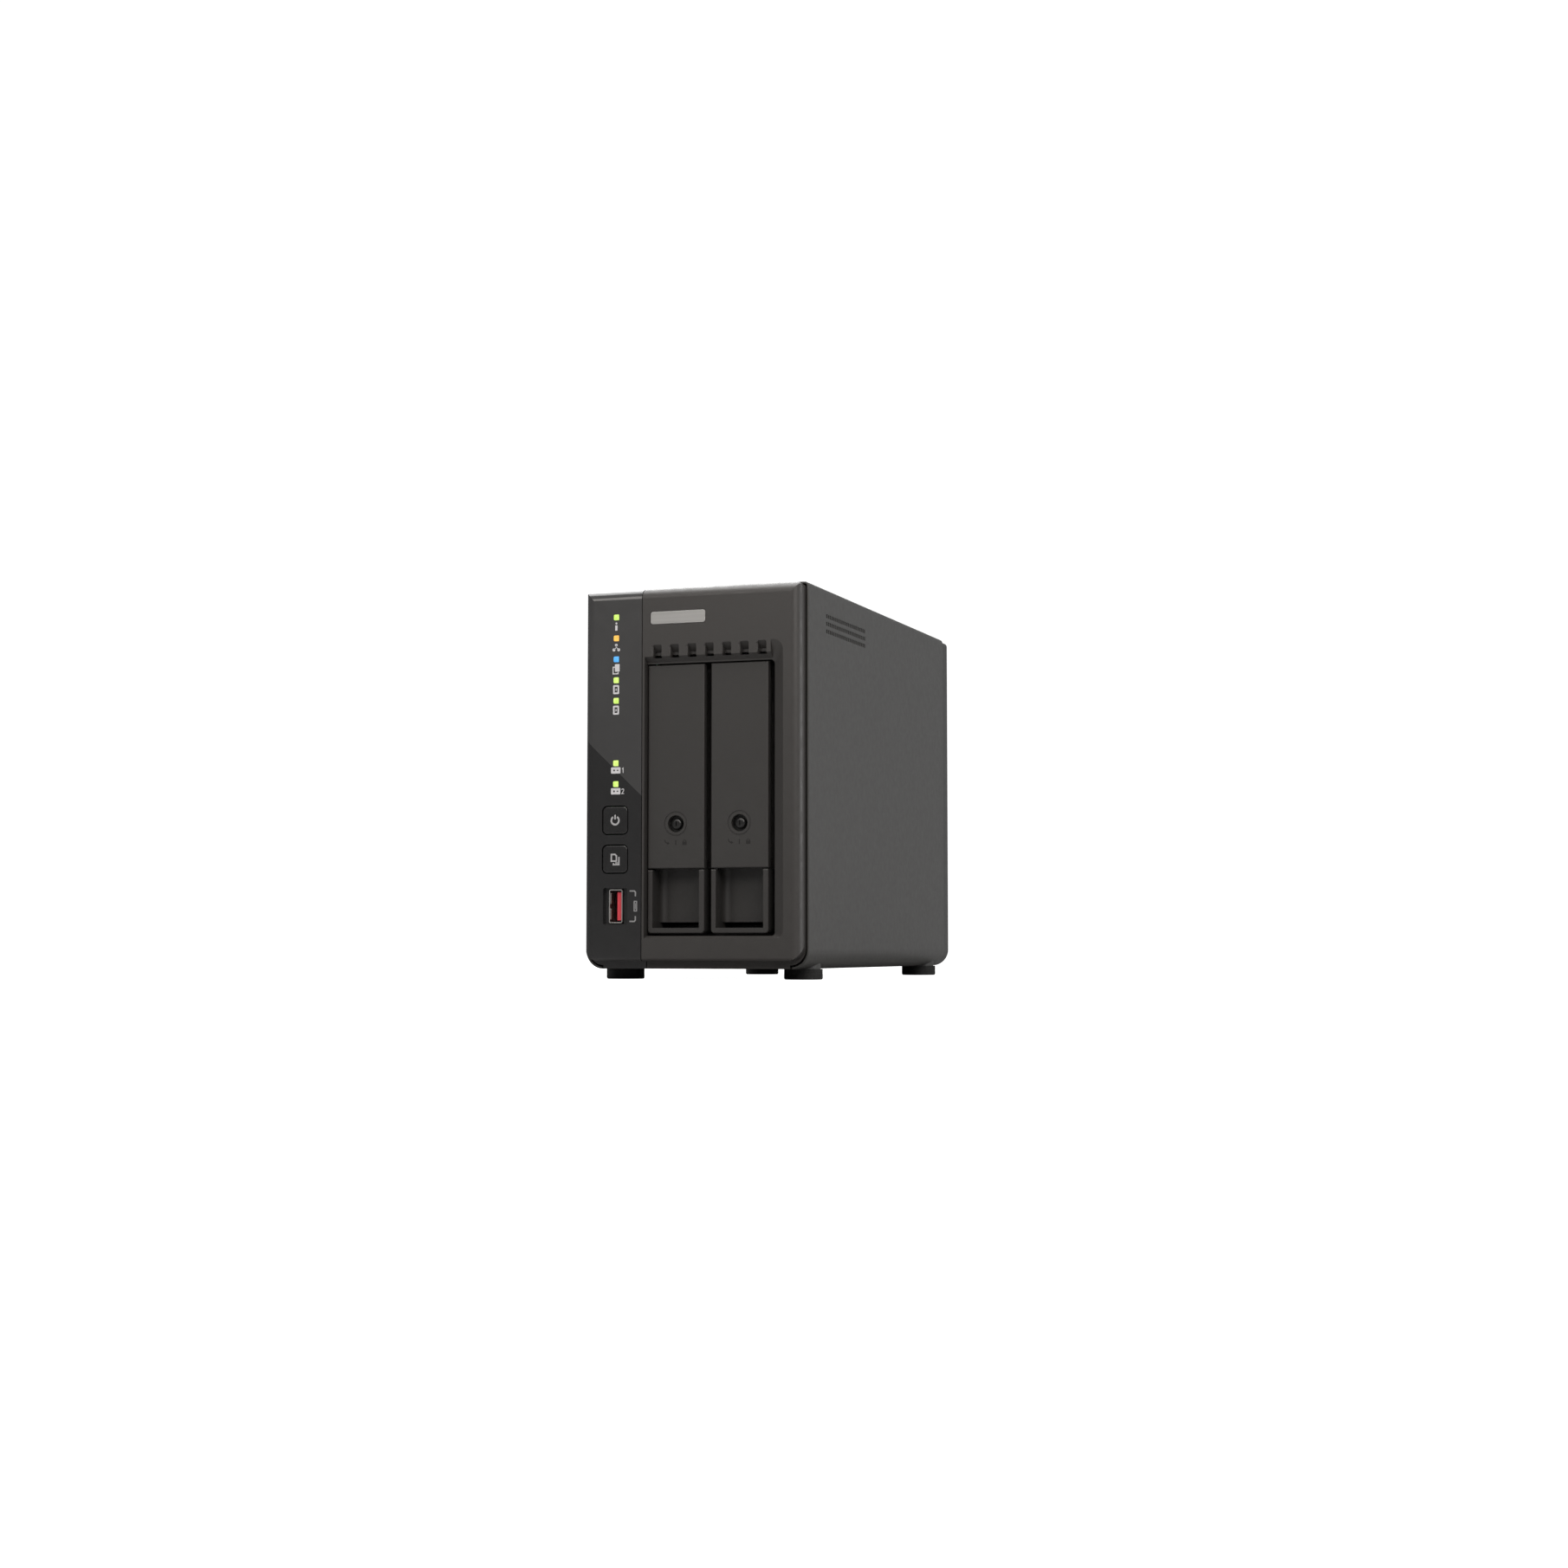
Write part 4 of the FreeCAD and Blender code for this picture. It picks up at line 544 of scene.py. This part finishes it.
def solids(node):
    """The boxes (low, high) of a CAD node's separate solids, from the lowest to the highest."""
    made = bmesh.new()
    made.from_mesh(frame["nodes"][node].data)
    bmesh.ops.remove_doubles(made, verts=made.verts, dist=1e-6)
    waiting = set(made.verts)
    boxes = []
    while waiting:
        front, found = [waiting.pop()], []
        while front:
            vert = front.pop()
            found.append(vert.co.copy())
            for edge in vert.link_edges:
                other = edge.other_vert(vert)
                if other in waiting:
                    waiting.remove(other)
                    front.append(other)
        boxes.append((Vector(map(min, zip(*found))), Vector(map(max, zip(*found)))))
    made.free()
    return sorted(boxes, key=lambda pair: (round(pair[0].z, 5), round(pair[0].x, 5), round(pair[0].y, 5)))


def middle(pair):
    return (pair[0] + pair[1]) / 2


def in_mm(point):
    """The (across, up) place of a point, for shapes on the front."""
    return point.x / MM, point.z / MM


# ---------------------------------------------------------------- prints on the front, and painted shade for the locks' moulded marks, in millimetres
BRACKET_HALF = 6.5              # from the front port's middle to the marks' outer edges


def status_mark():
    return [[disc(0, 1.35, 0.42)], [rectangle(0, -0.65, 1.05, 2.3, 0.2)]]


def network_mark():
    """Three round nodes joined by thin lines."""
    lines = bent_band([(0, 0.9), (0, 0.0), (-1.05, -0.95)], 0.3)
    other = bent_band([(0, 0.0), (1.05, -0.95)], 0.3)
    return [[disc(0, 1.0, 0.62)], [disc(-1.1, -1.05, 0.66)], [disc(1.1, -1.05, 0.66)], [lines], [other]]


def pages_mark():
    """A filled page ahead of an outlined one."""
    behind = bent_band([(-0.6, 0.9), (-1.45, 0.9), (-1.45, -2.0), (0.9, -2.0), (0.9, -1.3)], 0.42)
    return [[rectangle(0.5, 0.55, 2.2, 3.3, 0.3)], [behind]]


def cartridge_mark():
    """An upright frame with a short bar in it."""
    return [frame_outline(0, 0, 2.8, 3.9, 0.72, 0.45), [rectangle(0, 0.0, 0.42, 0.95, 0.1)]]


def drive_mark():
    """A drive seen from above: a round spindle and a small arm in a filled plate."""
    plate_outline = rectangle(0, 0, 4.4, 2.7, 0.35)
    return [[plate_outline, disc(-0.75, 0, 0.42)[::-1], rectangle(0.85, 0, 0.75, 0.5, 0.1)[::-1]]]


def digit(number):
    if number == 1:
        return [[bent_band([(-0.35, 0.65), (0.1, 1.05), (0.1, -1.1)], 0.3)]]
    curve = [(-0.5, 0.6), (-0.3, 0.98), (0.25, 1.0), (0.45, 0.55), (0.3, 0.1), (-0.5, -1.0), (0.55, -1.0)]
    return [[bent_band(curve, 0.3)]]


def power_mark():
    ring = bent_band(arc_points(0, -0.15, 1.75, 122, 418), 0.8)
    return [[ring], [rectangle(0, 1.25, 0.72, 2.0, 0.2)]]


def copy_mark():
    """An outlined page with a clipped corner, and the edge of a second page below and to its right."""
    page = [(-2.0, 2.5), (0.2, 2.5), (1.0, 1.7), (1.0, -1.0), (-2.0, -1.0)]
    hole = [(-1.35, 1.85), (0.0, 1.85), (0.35, 1.45), (0.35, -0.35), (-1.35, -0.35)]
    second = bent_band([(1.85, 1.1), (1.85, -2.2), (-0.7, -2.2), (-0.7, -1.55)], 0.62)
    return [[page, hole[::-1]], [second], [rectangle(0.75, -1.45, 1.1, 0.5)]]


def port_bracket():
    """Two corner marks beside the port, and an upright plug outline between them."""
    groups = []
    for sign in (1, -1):
        corner = [(-1.6, sign * BRACKET_HALF), (0.6, sign * BRACKET_HALF), (1.1, sign * (BRACKET_HALF - 0.5)),
                  (1.1, sign * (BRACKET_HALF - 2.3))]
        groups.append([bent_band(corner, 0.6)])
    groups.append(frame_outline(1.1, 0.0, 1.6, 4.6, 0.45, 0.3))
    groups.append([rectangle(1.1, 0.0, 0.3, 2.6)])
    return groups


def lock_marks():
    """Open, middle and locked, in that order, below each lock; moulded in the handle's own colour, and drawn
    dark as painted shade.
    """
    arrow = bent_band(arc_points(-3.6, 1.1, 1.4, 175, 265, 8), 0.45)
    head = [(-3.75, 0.4), (-2.75, -0.35), (-3.85, -1.0)]
    shackle = bent_band(arc_points(4.0, 0.35, 0.7, 0, 180, 12), 0.35)
    bar = rectangle(0, 0, 0.55, 2.1, 0.15)
    padlock = rectangle(4.0, -0.35, 2.0, 1.45, 0.2)
    return [[arrow], [head], [bar], [padlock], [shackle]]


# From a light down to the middle of the print under it.
MARK_DROP = 3.95
COPY_MARK_DROP = 4.3
CARTRIDGE_MARK_DROP = 4.05
DRIVE_MARK_DROP = 3.1

DIGIT_PLACE = (3.35, -0.05)     # a drive's number, from the middle of its symbol
LOCK_RADIUS = 3.6
LOCK_MARK_THICK = 0.06 * MM
LOCK_MARK_DROP = 8.0            # from a lock's middle down to its marks
PORT_MARK_REACH = 5.2           # from the front port's shell to the marks beside it


def panel_prints():
    """Prints under the lights of the panel, from its lamps' own places."""
    front = -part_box("control_panel")[0].y
    green = [in_mm(middle(pair)) for pair in solids("green_light_pipes")]
    orange = in_mm(middle(solids("orange_light_pipe")[0]))
    blue = in_mm(middle(solids("blue_light_pipe")[0]))
    drives, cartridges, status = green[:2], green[2:4], green[4]
    marks = [("status_print", status_mark(), status, MARK_DROP),
             ("network_print", network_mark(), orange, MARK_DROP),
             ("copy_print", pages_mark(), blue, COPY_MARK_DROP)]
    for number, at in zip((2, 1), cartridges):
        marks.append((f"cartridge_print_{number}", cartridge_mark(), at, CARTRIDGE_MARK_DROP))
    for number, at in zip((2, 1), drives):
        groups = drive_mark() + moved(digit(number), *DIGIT_PLACE)
        marks.append((f"drive_print_{number}", groups, at, DRIVE_MARK_DROP))
    for name, groups, (x, z), drop in marks:
        piece = plate(name, groups, FACING_FRONT, front, (x, z - drop))
        finished(piece, CHASSIS, "print_white")


def button_prints():
    for node, groups, lift in (("power_button", power_mark(), 0.1), ("copy_button", copy_mark(), -0.15)):
        low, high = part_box(node)
        x, z = in_mm((low + high) / 2)
        piece = plate(node.replace("button", "symbol"), groups, FACING_FRONT, -low.y, (x, z + lift))
        finished(piece, node, "print_grey")


def port_prints():
    low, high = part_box("front_usb_shell")
    x, z = high.x / MM + PORT_MARK_REACH, (low.z + high.z) / 2 / MM
    front = -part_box("control_panel")[0].y
    piece = plate("port_bracket", port_bracket(), FACING_FRONT, front, (x, z))
    finished(piece, CHASSIS, "port_print")


def lock_marks_in_painted_shade():
    for bay in BAYS:
        handle_front = -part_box(f"tray_{bay}_handle")[0].y
        low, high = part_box(f"tray_{bay}_lock")
        place = ((low.x + high.x) / 2 / MM, high.z / MM - LOCK_RADIUS - LOCK_MARK_DROP)
        # The marks are thin dark sheets that paint the shade of marks moulded into the handle.
        piece = plate(f"lock_marks_{bay}", lock_marks(), FACING_FRONT, handle_front, place, LOCK_MARK_THICK)
        finished(piece, f"handle_{bay}", "moulded_mark_shade")


# ---------------------------------------------------------------- small parts on the front
# From a lens's foot to its top, as (share of the light pipe's size, rise ahead of its face in millimetres).
LENS_STEPS = ((1.0, -0.1), (1.0, 0.04), (0.9, 0.12), (0.6, 0.17), (0.25, 0.19))
LENS_CORNER = 0.5


def lens(name, pair):
    """A low dome with rounded corners on the front end of a light pipe."""
    x, z = in_mm(middle(pair))
    size = (pair[1].x - pair[0].x) / MM
    made = bmesh.new()
    rings = []
    for share, rise in LENS_STEPS:
        loop = rectangle(x, z, size * share, size * share, LENS_CORNER * share)
        rings.append([made.verts.new((px * MM, pair[0].y - rise * MM, pz * MM)) for px, pz in loop])
    for lower, upper in zip(rings, rings[1:]):
        for i, vert in enumerate(lower):
            j = (i + 1) % len(lower)
            made.faces.new((vert, lower[j], upper[j], upper[i]))
    made.faces.new(rings[0])
    made.faces.new(rings[-1])
    return smooth(closed_mesh(name, as_mesh(made, name)))


def light_lenses():
    """A lens on the front end of every light pipe."""
    for node, slot in (("green_light_pipes", "light_green"), ("orange_light_pipe", "light_orange"),
                       ("blue_light_pipe", "light_blue")):
        for index, pair in enumerate(solids(node), 1):
            finished(lens(f"{slot}_lens_{index}", pair), CHASSIS, slot)


USB_CONTACT_STEPS = (-3.5, -1.2, 1.2, 3.5)
USB_CONTACT_HALF = 0.45 * MM


def contact_strips(x0, x1, y0, y1, centre_z):
    """The four contacts of a USB tongue, between two places across it and two along it."""
    strips = []
    for step in USB_CONTACT_STEPS:
        z = centre_z + step * MM
        strips.append(block((x0, y0, z - USB_CONTACT_HALF), (x1, y1, z + USB_CONTACT_HALF)))
    return strips


def usb_details():
    """Springs in the front port's shell, contacts on its tongue and the insulator behind them, its red
    darkened as painted shade deep in the port.
    """
    low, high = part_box("front_usb_shell")
    tongue_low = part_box("front_usb_tongue")[0]
    centre_z = (low.z + high.z) / 2
    # The insulator's red is darkened to paint the shade at the back of the port.
    back = block((low.x + 0.5 * MM, low.y + 8 * MM, low.z + 0.5 * MM),
                 (tongue_low.x, high.y - 1.2 * MM, high.z - 0.5 * MM))
    finished(rounded(joined("front_usb_insulator", [back]), 0.15), CHASSIS, "usb_red_in_painted_shade")
    springs = []
    for sign in (-1, 1):
        z = centre_z + sign * 3.3 * MM
        springs.append(block((low.x + 0.38 * MM, low.y + 0.3 * MM, z - 2.3 * MM),
                             (low.x + 0.85 * MM, low.y + 3.4 * MM, z + 2.3 * MM)))
    finished(rounded(joined("front_usb_springs", springs), 0.18), CHASSIS, "port_steel")
    contacts = contact_strips(tongue_low.x - 0.12 * MM, tongue_low.x + 0.1 * MM,
                              tongue_low.y + 0.5 * MM, tongue_low.y + 6.5 * MM, centre_z)
    finished(rounded(joined("front_usb_contacts", contacts), 0.05), CHASSIS, "gold_contact")


# ---------------------------------------------------------------- rear
def cross_screw(name, head_radius, head_high):
    """A pan head with a cross recess, about +Z, its rim's underside at z = 0."""
    dome = [(0, 0), (head_radius, 0), (head_radius, head_high * 0.35), (head_radius * 0.9, head_high * 0.72),
            (head_radius * 0.62, head_high * 0.94), (0, head_high)]
    screw = turned(name, dome)
    arm, wide, deep = head_radius * 0.56, head_radius * 0.13, head_high * 0.55
    top = (head_high + 0.5) * MM
    for half_x, half_y in ((arm, wide), (wide, arm)):
        cutter = block((-half_x * MM, -half_y * MM, top - (deep + 0.5) * MM), (half_x * MM, half_y * MM, top))
        screw = cut(screw, cutter)
    return screw


HEAD_HIGH = 1.5          # of the rear's screws, in millimetres
THREAD_PITCH = 0.6
THREAD_RADIUS = 1.48
THREAD_ROOT = THREAD_RADIUS - 0.22
THREAD_START = 0.3       # from a screw's tip to its first turn


def screw_shank(name, length):
    """The threaded part of a screw below its head, down to its tip."""
    turns = int((length - 2 * THREAD_START) / THREAD_PITCH)
    profile = [(0, -length), (THREAD_RADIUS * 0.7, -length)]
    for turn in range(turns):
        at = -length + THREAD_START + turn * THREAD_PITCH
        profile += [(THREAD_ROOT, at), (THREAD_RADIUS, at + THREAD_PITCH / 2)]
    profile += [(THREAD_ROOT, -length + THREAD_START + turns * THREAD_PITCH), (THREAD_ROOT, 0.05), (0, 0.05)]
    return turned(name, profile, 20)


def rear_screws():
    """Domed cross heads and threaded shanks in place of the CAD's plain screws."""
    for node in ("cover_screws", "fan_screws"):
        pairs = solids(node)
        radius = (pairs[0][1].x - pairs[0][0].x) / 2 / MM
        shape = cross_screw("screw_shape", radius, HEAD_HIGH).data
        for index, pair in enumerate(pairs, 1):
            low, high = pair
            centre = middle(pair)
            place = Matrix.Translation((centre.x, high.y - HEAD_HIGH * MM, centre.z)) @ POINTING_BACK
            spin = Matrix.Rotation(math.radians(20 + 47 * index), 4, "Z")
            head = bpy.data.objects.new(f"{node[:-1]}_head_{index}", shape.copy())
            head.data.transform(place @ spin)
            finished(smooth(head, 30), CHASSIS, "screw_steel")
            if index == 1:
                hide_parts(node)
            shank = screw_shank(f"{node[:-1]}_shank_{index}", (high.y - low.y) / MM - HEAD_HIGH)
            shank.data.transform(place)
            finished(shank, CHASSIS, "screw_steel")


LAN_PINS = 8
LAN_PIN_PITCH = 1.02 * MM
LAN_PIN_HALF = 0.18 * MM
LAN_LAMP_STEP = 5.6 * MM       # from a jack's middle up or down to a lamp


def lan_details():
    """Contacts and two lamps in each network jack."""
    pins, windows = [], []
    for low, high in solids("lan_jacks"):
        centre = (low + high) / 2
        for step in range(LAN_PINS):
            z = centre.z + (step - (LAN_PINS - 1) / 2) * LAN_PIN_PITCH
            pins.append(block((high.x - 3.6 * MM, high.y - 11.5 * MM, z - LAN_PIN_HALF),
                              (high.x - 2.2 * MM, high.y - 2.2 * MM, z + LAN_PIN_HALF)))
        for sign in (-1, 1):
            windows.append((low.x + 1.7 * MM, high.y, centre.z + sign * LAN_LAMP_STEP))
    finished(rounded(joined("lan_contacts", pins), 0.05), CHASSIS, "gold_contact")
    for slot, places in (("light_green", windows[::2]), ("light_orange", windows[1::2])):
        blocks = [block((x - 0.9 * MM, y - 0.3 * MM, z - 1.4 * MM),
                        (x + 0.9 * MM, y + 0.08 * MM, z + 1.4 * MM)) for x, y, z in places]
        finished(rounded(joined(f"lan_{slot}", blocks), 0.06), CHASSIS, f"{slot}_dim")


def rear_usb_details():
    strips = []
    for low, high in solids("rear_usb_tongues"):
        strips += contact_strips(high.x - 0.1 * MM, high.x + 0.12 * MM, high.y - 7 * MM, high.y - 0.5 * MM,
                                 (low.z + high.z) / 2)
    finished(rounded(joined("rear_usb_contacts", strips), 0.05), CHASSIS, "gold_contact")


# ---------------------------------------------------------------- drives
# A low lid screw with a round recess: half of its outline, as (radius, height) in millimetres.
LID_SCREW = [(0, -0.3), (2.4, -0.3), (2.4, 0.25), (2.0, 0.5), (1.2, 0.5), (1.2, 0.1), (0, 0.1)]


def label_bands(deep, tall):
    """Five lines of different lengths and one block, standing for a label's print."""
    bands = [[rectangle(0, tall * (0.24 - 0.08 * row), deep * (0.34 - 0.05 * (row % 3)), 1.4, 0.3)]
             for row in range(5)]
    return bands + [[rectangle(-deep * 0.11, -tall * 0.2, deep * 0.12, 7.0, 0.3)]]


def drive_details():
    """A label without words and the lid screws of each drive, all riding with its tray."""
    for bay in BAYS:
        body = f"tray_{bay}"
        low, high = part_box(f"drive_{bay}_body")
        y_mid, z_mid = (low.y + high.y) / 2, (low.z + high.z) / 2
        tall, deep = (high.z - low.z) / MM, (high.y - low.y) / MM
        place = (y_mid / MM + deep * 0.22, z_mid / MM)
        paper = [[rectangle(0, 0, deep * 0.42, tall * 0.62, 2.0)]]
        label = plate(f"drive_label_{bay}", paper, FACING_RIGHT, high.x, place, 0.12 * MM, 0.04 * MM)
        finished(label, body, "label_paper")
        bands = plate(f"drive_label_bands_{bay}", label_bands(deep, tall), FACING_RIGHT,
                      high.x + 0.08 * MM, place, 0.04 * MM, 0.02 * MM)
        finished(bands, body, "band_blue")
        heads = []
        for y in (low.y + 6 * MM, y_mid, high.y - 6 * MM):
            for z in (low.z + 5 * MM, high.z - 5 * MM):
                head = turned("lid_screw", LID_SCREW, 24)
                head.data.transform(Matrix.Translation((high.x, y, z)) @ POINTING_RIGHT)
                heads.append(head.data)
        finished(smooth(joined(f"drive_lid_screws_{bay}", heads), 30), body, "screw_steel")


# ---------------------------------------------------------------- boards
SMALL_PARTS = 110
SMALL_PART_SIZES = ((1.6, 0.8), (2.0, 1.25), (1.0, 0.5))    # (long, wide) in millimetres
SMALL_PART_HIGH = 0.55 * MM
SMALL_PART_ROOM = 2.4 * MM     # kept free on each side of a small part's middle
BOARD_MARGIN = 4 * MM
BOARD_TOP_MARGIN = 24 * MM
BOARD_SEED = 7
ON_MAIN_BOARD = ("board_chips", "heat_sink", "memory_socket", "memory_module", "coin_cell_holder",
                 "board_capacitors", "lan_jacks", "rear_usb_shells", "hdmi_socket", "dc_jack",
                 "board_standoffs", "backplane_connector", "ribbon_headers", "ribbon_cable")


def small_part(face, y, z, long, wide, along_y):
    """The body and the two end caps of a small part that stands on the board's face."""
    half_y, half_z = (long / 2, wide / 2) if along_y else (wide / 2, long / 2)
    cap_y, cap_z = (half_y * 0.3, half_z) if along_y else (half_y, half_z * 0.3)
    x0, x1 = face - 0.02 * MM, face + SMALL_PART_HIGH
    body = block((x0, y - half_y * 0.75 * MM, z - half_z * 0.75 * MM),
                 (x1, y + half_y * 0.75 * MM, z + half_z * 0.75 * MM))
    caps = []
    for sign in (-1, 1):
        cy = y + sign * (half_y * MM if along_y else 0)
        cz = z + sign * (0 if along_y else half_z * MM)
        caps.append(block((x0, cy - cap_y * MM, cz - cap_z * MM), (x1, cy + cap_y * MM, cz + cap_z * MM)))
    return body, caps


def board_parts():
    """Small surface-mount parts scattered over the main board's free ground, from one fixed seed."""
    low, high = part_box("main_board")
    dice = random.Random(BOARD_SEED)
    taken = [(pair[0].y - MM, pair[1].y + MM, pair[0].z - MM, pair[1].z + MM)
             for node in ON_MAIN_BOARD for pair in solids(node)]
    bodies, ends = [], []
    while len(bodies) < SMALL_PARTS:
        y = dice.uniform(low.y + BOARD_MARGIN, high.y - BOARD_MARGIN)
        z = dice.uniform(low.z + BOARD_MARGIN, high.z - BOARD_TOP_MARGIN)
        if any(y0 < y < y1 and z0 < z < z1 for y0, y1, z0, z1 in taken):
            continue
        taken.append((y - SMALL_PART_ROOM, y + SMALL_PART_ROOM, z - SMALL_PART_ROOM, z + SMALL_PART_ROOM))
        long, wide = dice.choice(SMALL_PART_SIZES)
        body, caps = small_part(high.x, y, z, long, wide, dice.random() < 0.5)
        bodies.append(body)
        ends += caps
    finished(joined("board_small_parts", bodies), CHASSIS, "chip_black")
    finished(joined("board_part_ends", ends), CHASSIS, "port_steel")


# ---------------------------------------------------------------- frame, light and camera
def dress_frame():
    """Gives every CAD node the material of its slot."""
    for part in frame["record"]["subparts"]:
        piece = frame["nodes"][part["node"]]
        for holder in piece.material_slots:
            holder.material = MATERIALS[part["material_slot"]]


LIGHTS_AIM = Vector((0.0, 0.0, 0.08))    # about the middle of the box
WHITE = (1.0, 1.0, 1.0)
WARM = (1.0, 0.95, 0.91)
FLOOR_HALF = 6.0
ROOM_LIGHT = 0.18        # strength of the room's light on the box
ROOM_SEEN = 1.05         # and of the white that is seen behind it


def soft_light(name, place, size, watts, tint):
    data = bpy.data.lights.new(name, "AREA")
    data.shape, data.size, data.energy, data.color = "SQUARE", size, watts, tint
    light = bpy.data.objects.new(name, data)
    light.location = place
    light.rotation_euler = (LIGHTS_AIM - Vector(place)).to_track_quat("-Z", "Y").to_euler()
    light.visible_camera = False
    bpy.context.scene.collection.objects.link(light)


def pale_floor():
    """A floor that catches light like pale paper and is seen as plain white."""
    made = bmesh.new()
    half = FLOOR_HALF
    outline = ((-half, -half), (half, -half), (half, half), (-half, half))
    made.faces.new([made.verts.new((x, y, 0.0)) for x, y in outline])
    floor = bpy.data.objects.new("floor", as_mesh(made, "floor"))
    bpy.context.scene.collection.objects.link(floor)
    s = Surface("floor_pale", Roughness=0.9, Specular_IOR_Level=0.1, Base_Color=colour(0.3))
    seen = s.node("ShaderNodeLightPath").outputs["Is Camera Ray"]
    s.shader.inputs["Emission Color"].default_value = colour(1.0)
    s.links.new(seen, s.shader.inputs["Emission Strength"])
    floor.data.materials.append(s.material)


def white_room():
    """An even white world, bright where it is seen and dim where it lights the box."""
    world = bpy.data.worlds.new("room")
    bpy.context.scene.world = world
    world.use_nodes = True
    tree = world.node_tree
    ground = tree.nodes["Background"]
    ground.inputs["Color"].default_value = colour(1.0)
    path = tree.nodes.new("ShaderNodeLightPath")
    strength = tree.nodes.new("ShaderNodeMapRange")
    tree.links.new(path.outputs["Is Camera Ray"], strength.inputs["Value"])
    strength.inputs["To Min"].default_value = ROOM_LIGHT
    strength.inputs["To Max"].default_value = ROOM_SEEN
    tree.links.new(strength.outputs["Result"], ground.inputs["Strength"])


def soft_lights():
    """Large soft lights above, behind, on the right, and in front on both sides."""
    soft_light("top_softbox", (-0.35, 0.15, 1.4), 1.2, 22.0, WHITE)
    soft_light("top_front_softbox", (0.1, -0.6, 1.3), 0.8, 10.0, WARM)
    soft_light("back_softbox", (-0.5, 1.3, 1.1), 0.9, 13.0, WHITE)
    soft_light("right_softbox", (1.3, 0.1, 0.15), 0.6, 5.5, WHITE)
    soft_light("back_right_softbox", (0.8, 1.6, 0.25), 1.2, 2.1, WHITE)
    soft_light("front_softbox", (-0.4, -1.3, 0.72), 0.5, 3.0, WARM)
    soft_light("front_right_softbox", (0.45, -0.62, 0.5), 0.4, 3.0, WARM)


def camera():
    data = bpy.data.cameras.new("camera")
    data.lens, data.sensor_width = 55.65, 36.0
    data.clip_start, data.clip_end = 0.01, 50.0
    eye = bpy.data.objects.new("camera", data)
    eye.location = (0.3795, -1.0698, 0.0146)
    eye.rotation_euler = (math.radians(93.808), 0.0, math.radians(19.411))
    bpy.context.scene.collection.objects.link(eye)
    bpy.context.scene.camera = eye
    bpy.context.scene.view_settings.view_transform = "Standard"


MATERIALS = build_materials()

camera()
pale_floor()
white_room()
soft_lights()
dress_frame()
panel_prints()
button_prints()
port_prints()
lock_marks_in_painted_shade()
light_lenses()
usb_details()
rear_screws()
lan_details()
rear_usb_details()
drive_details()
board_parts()
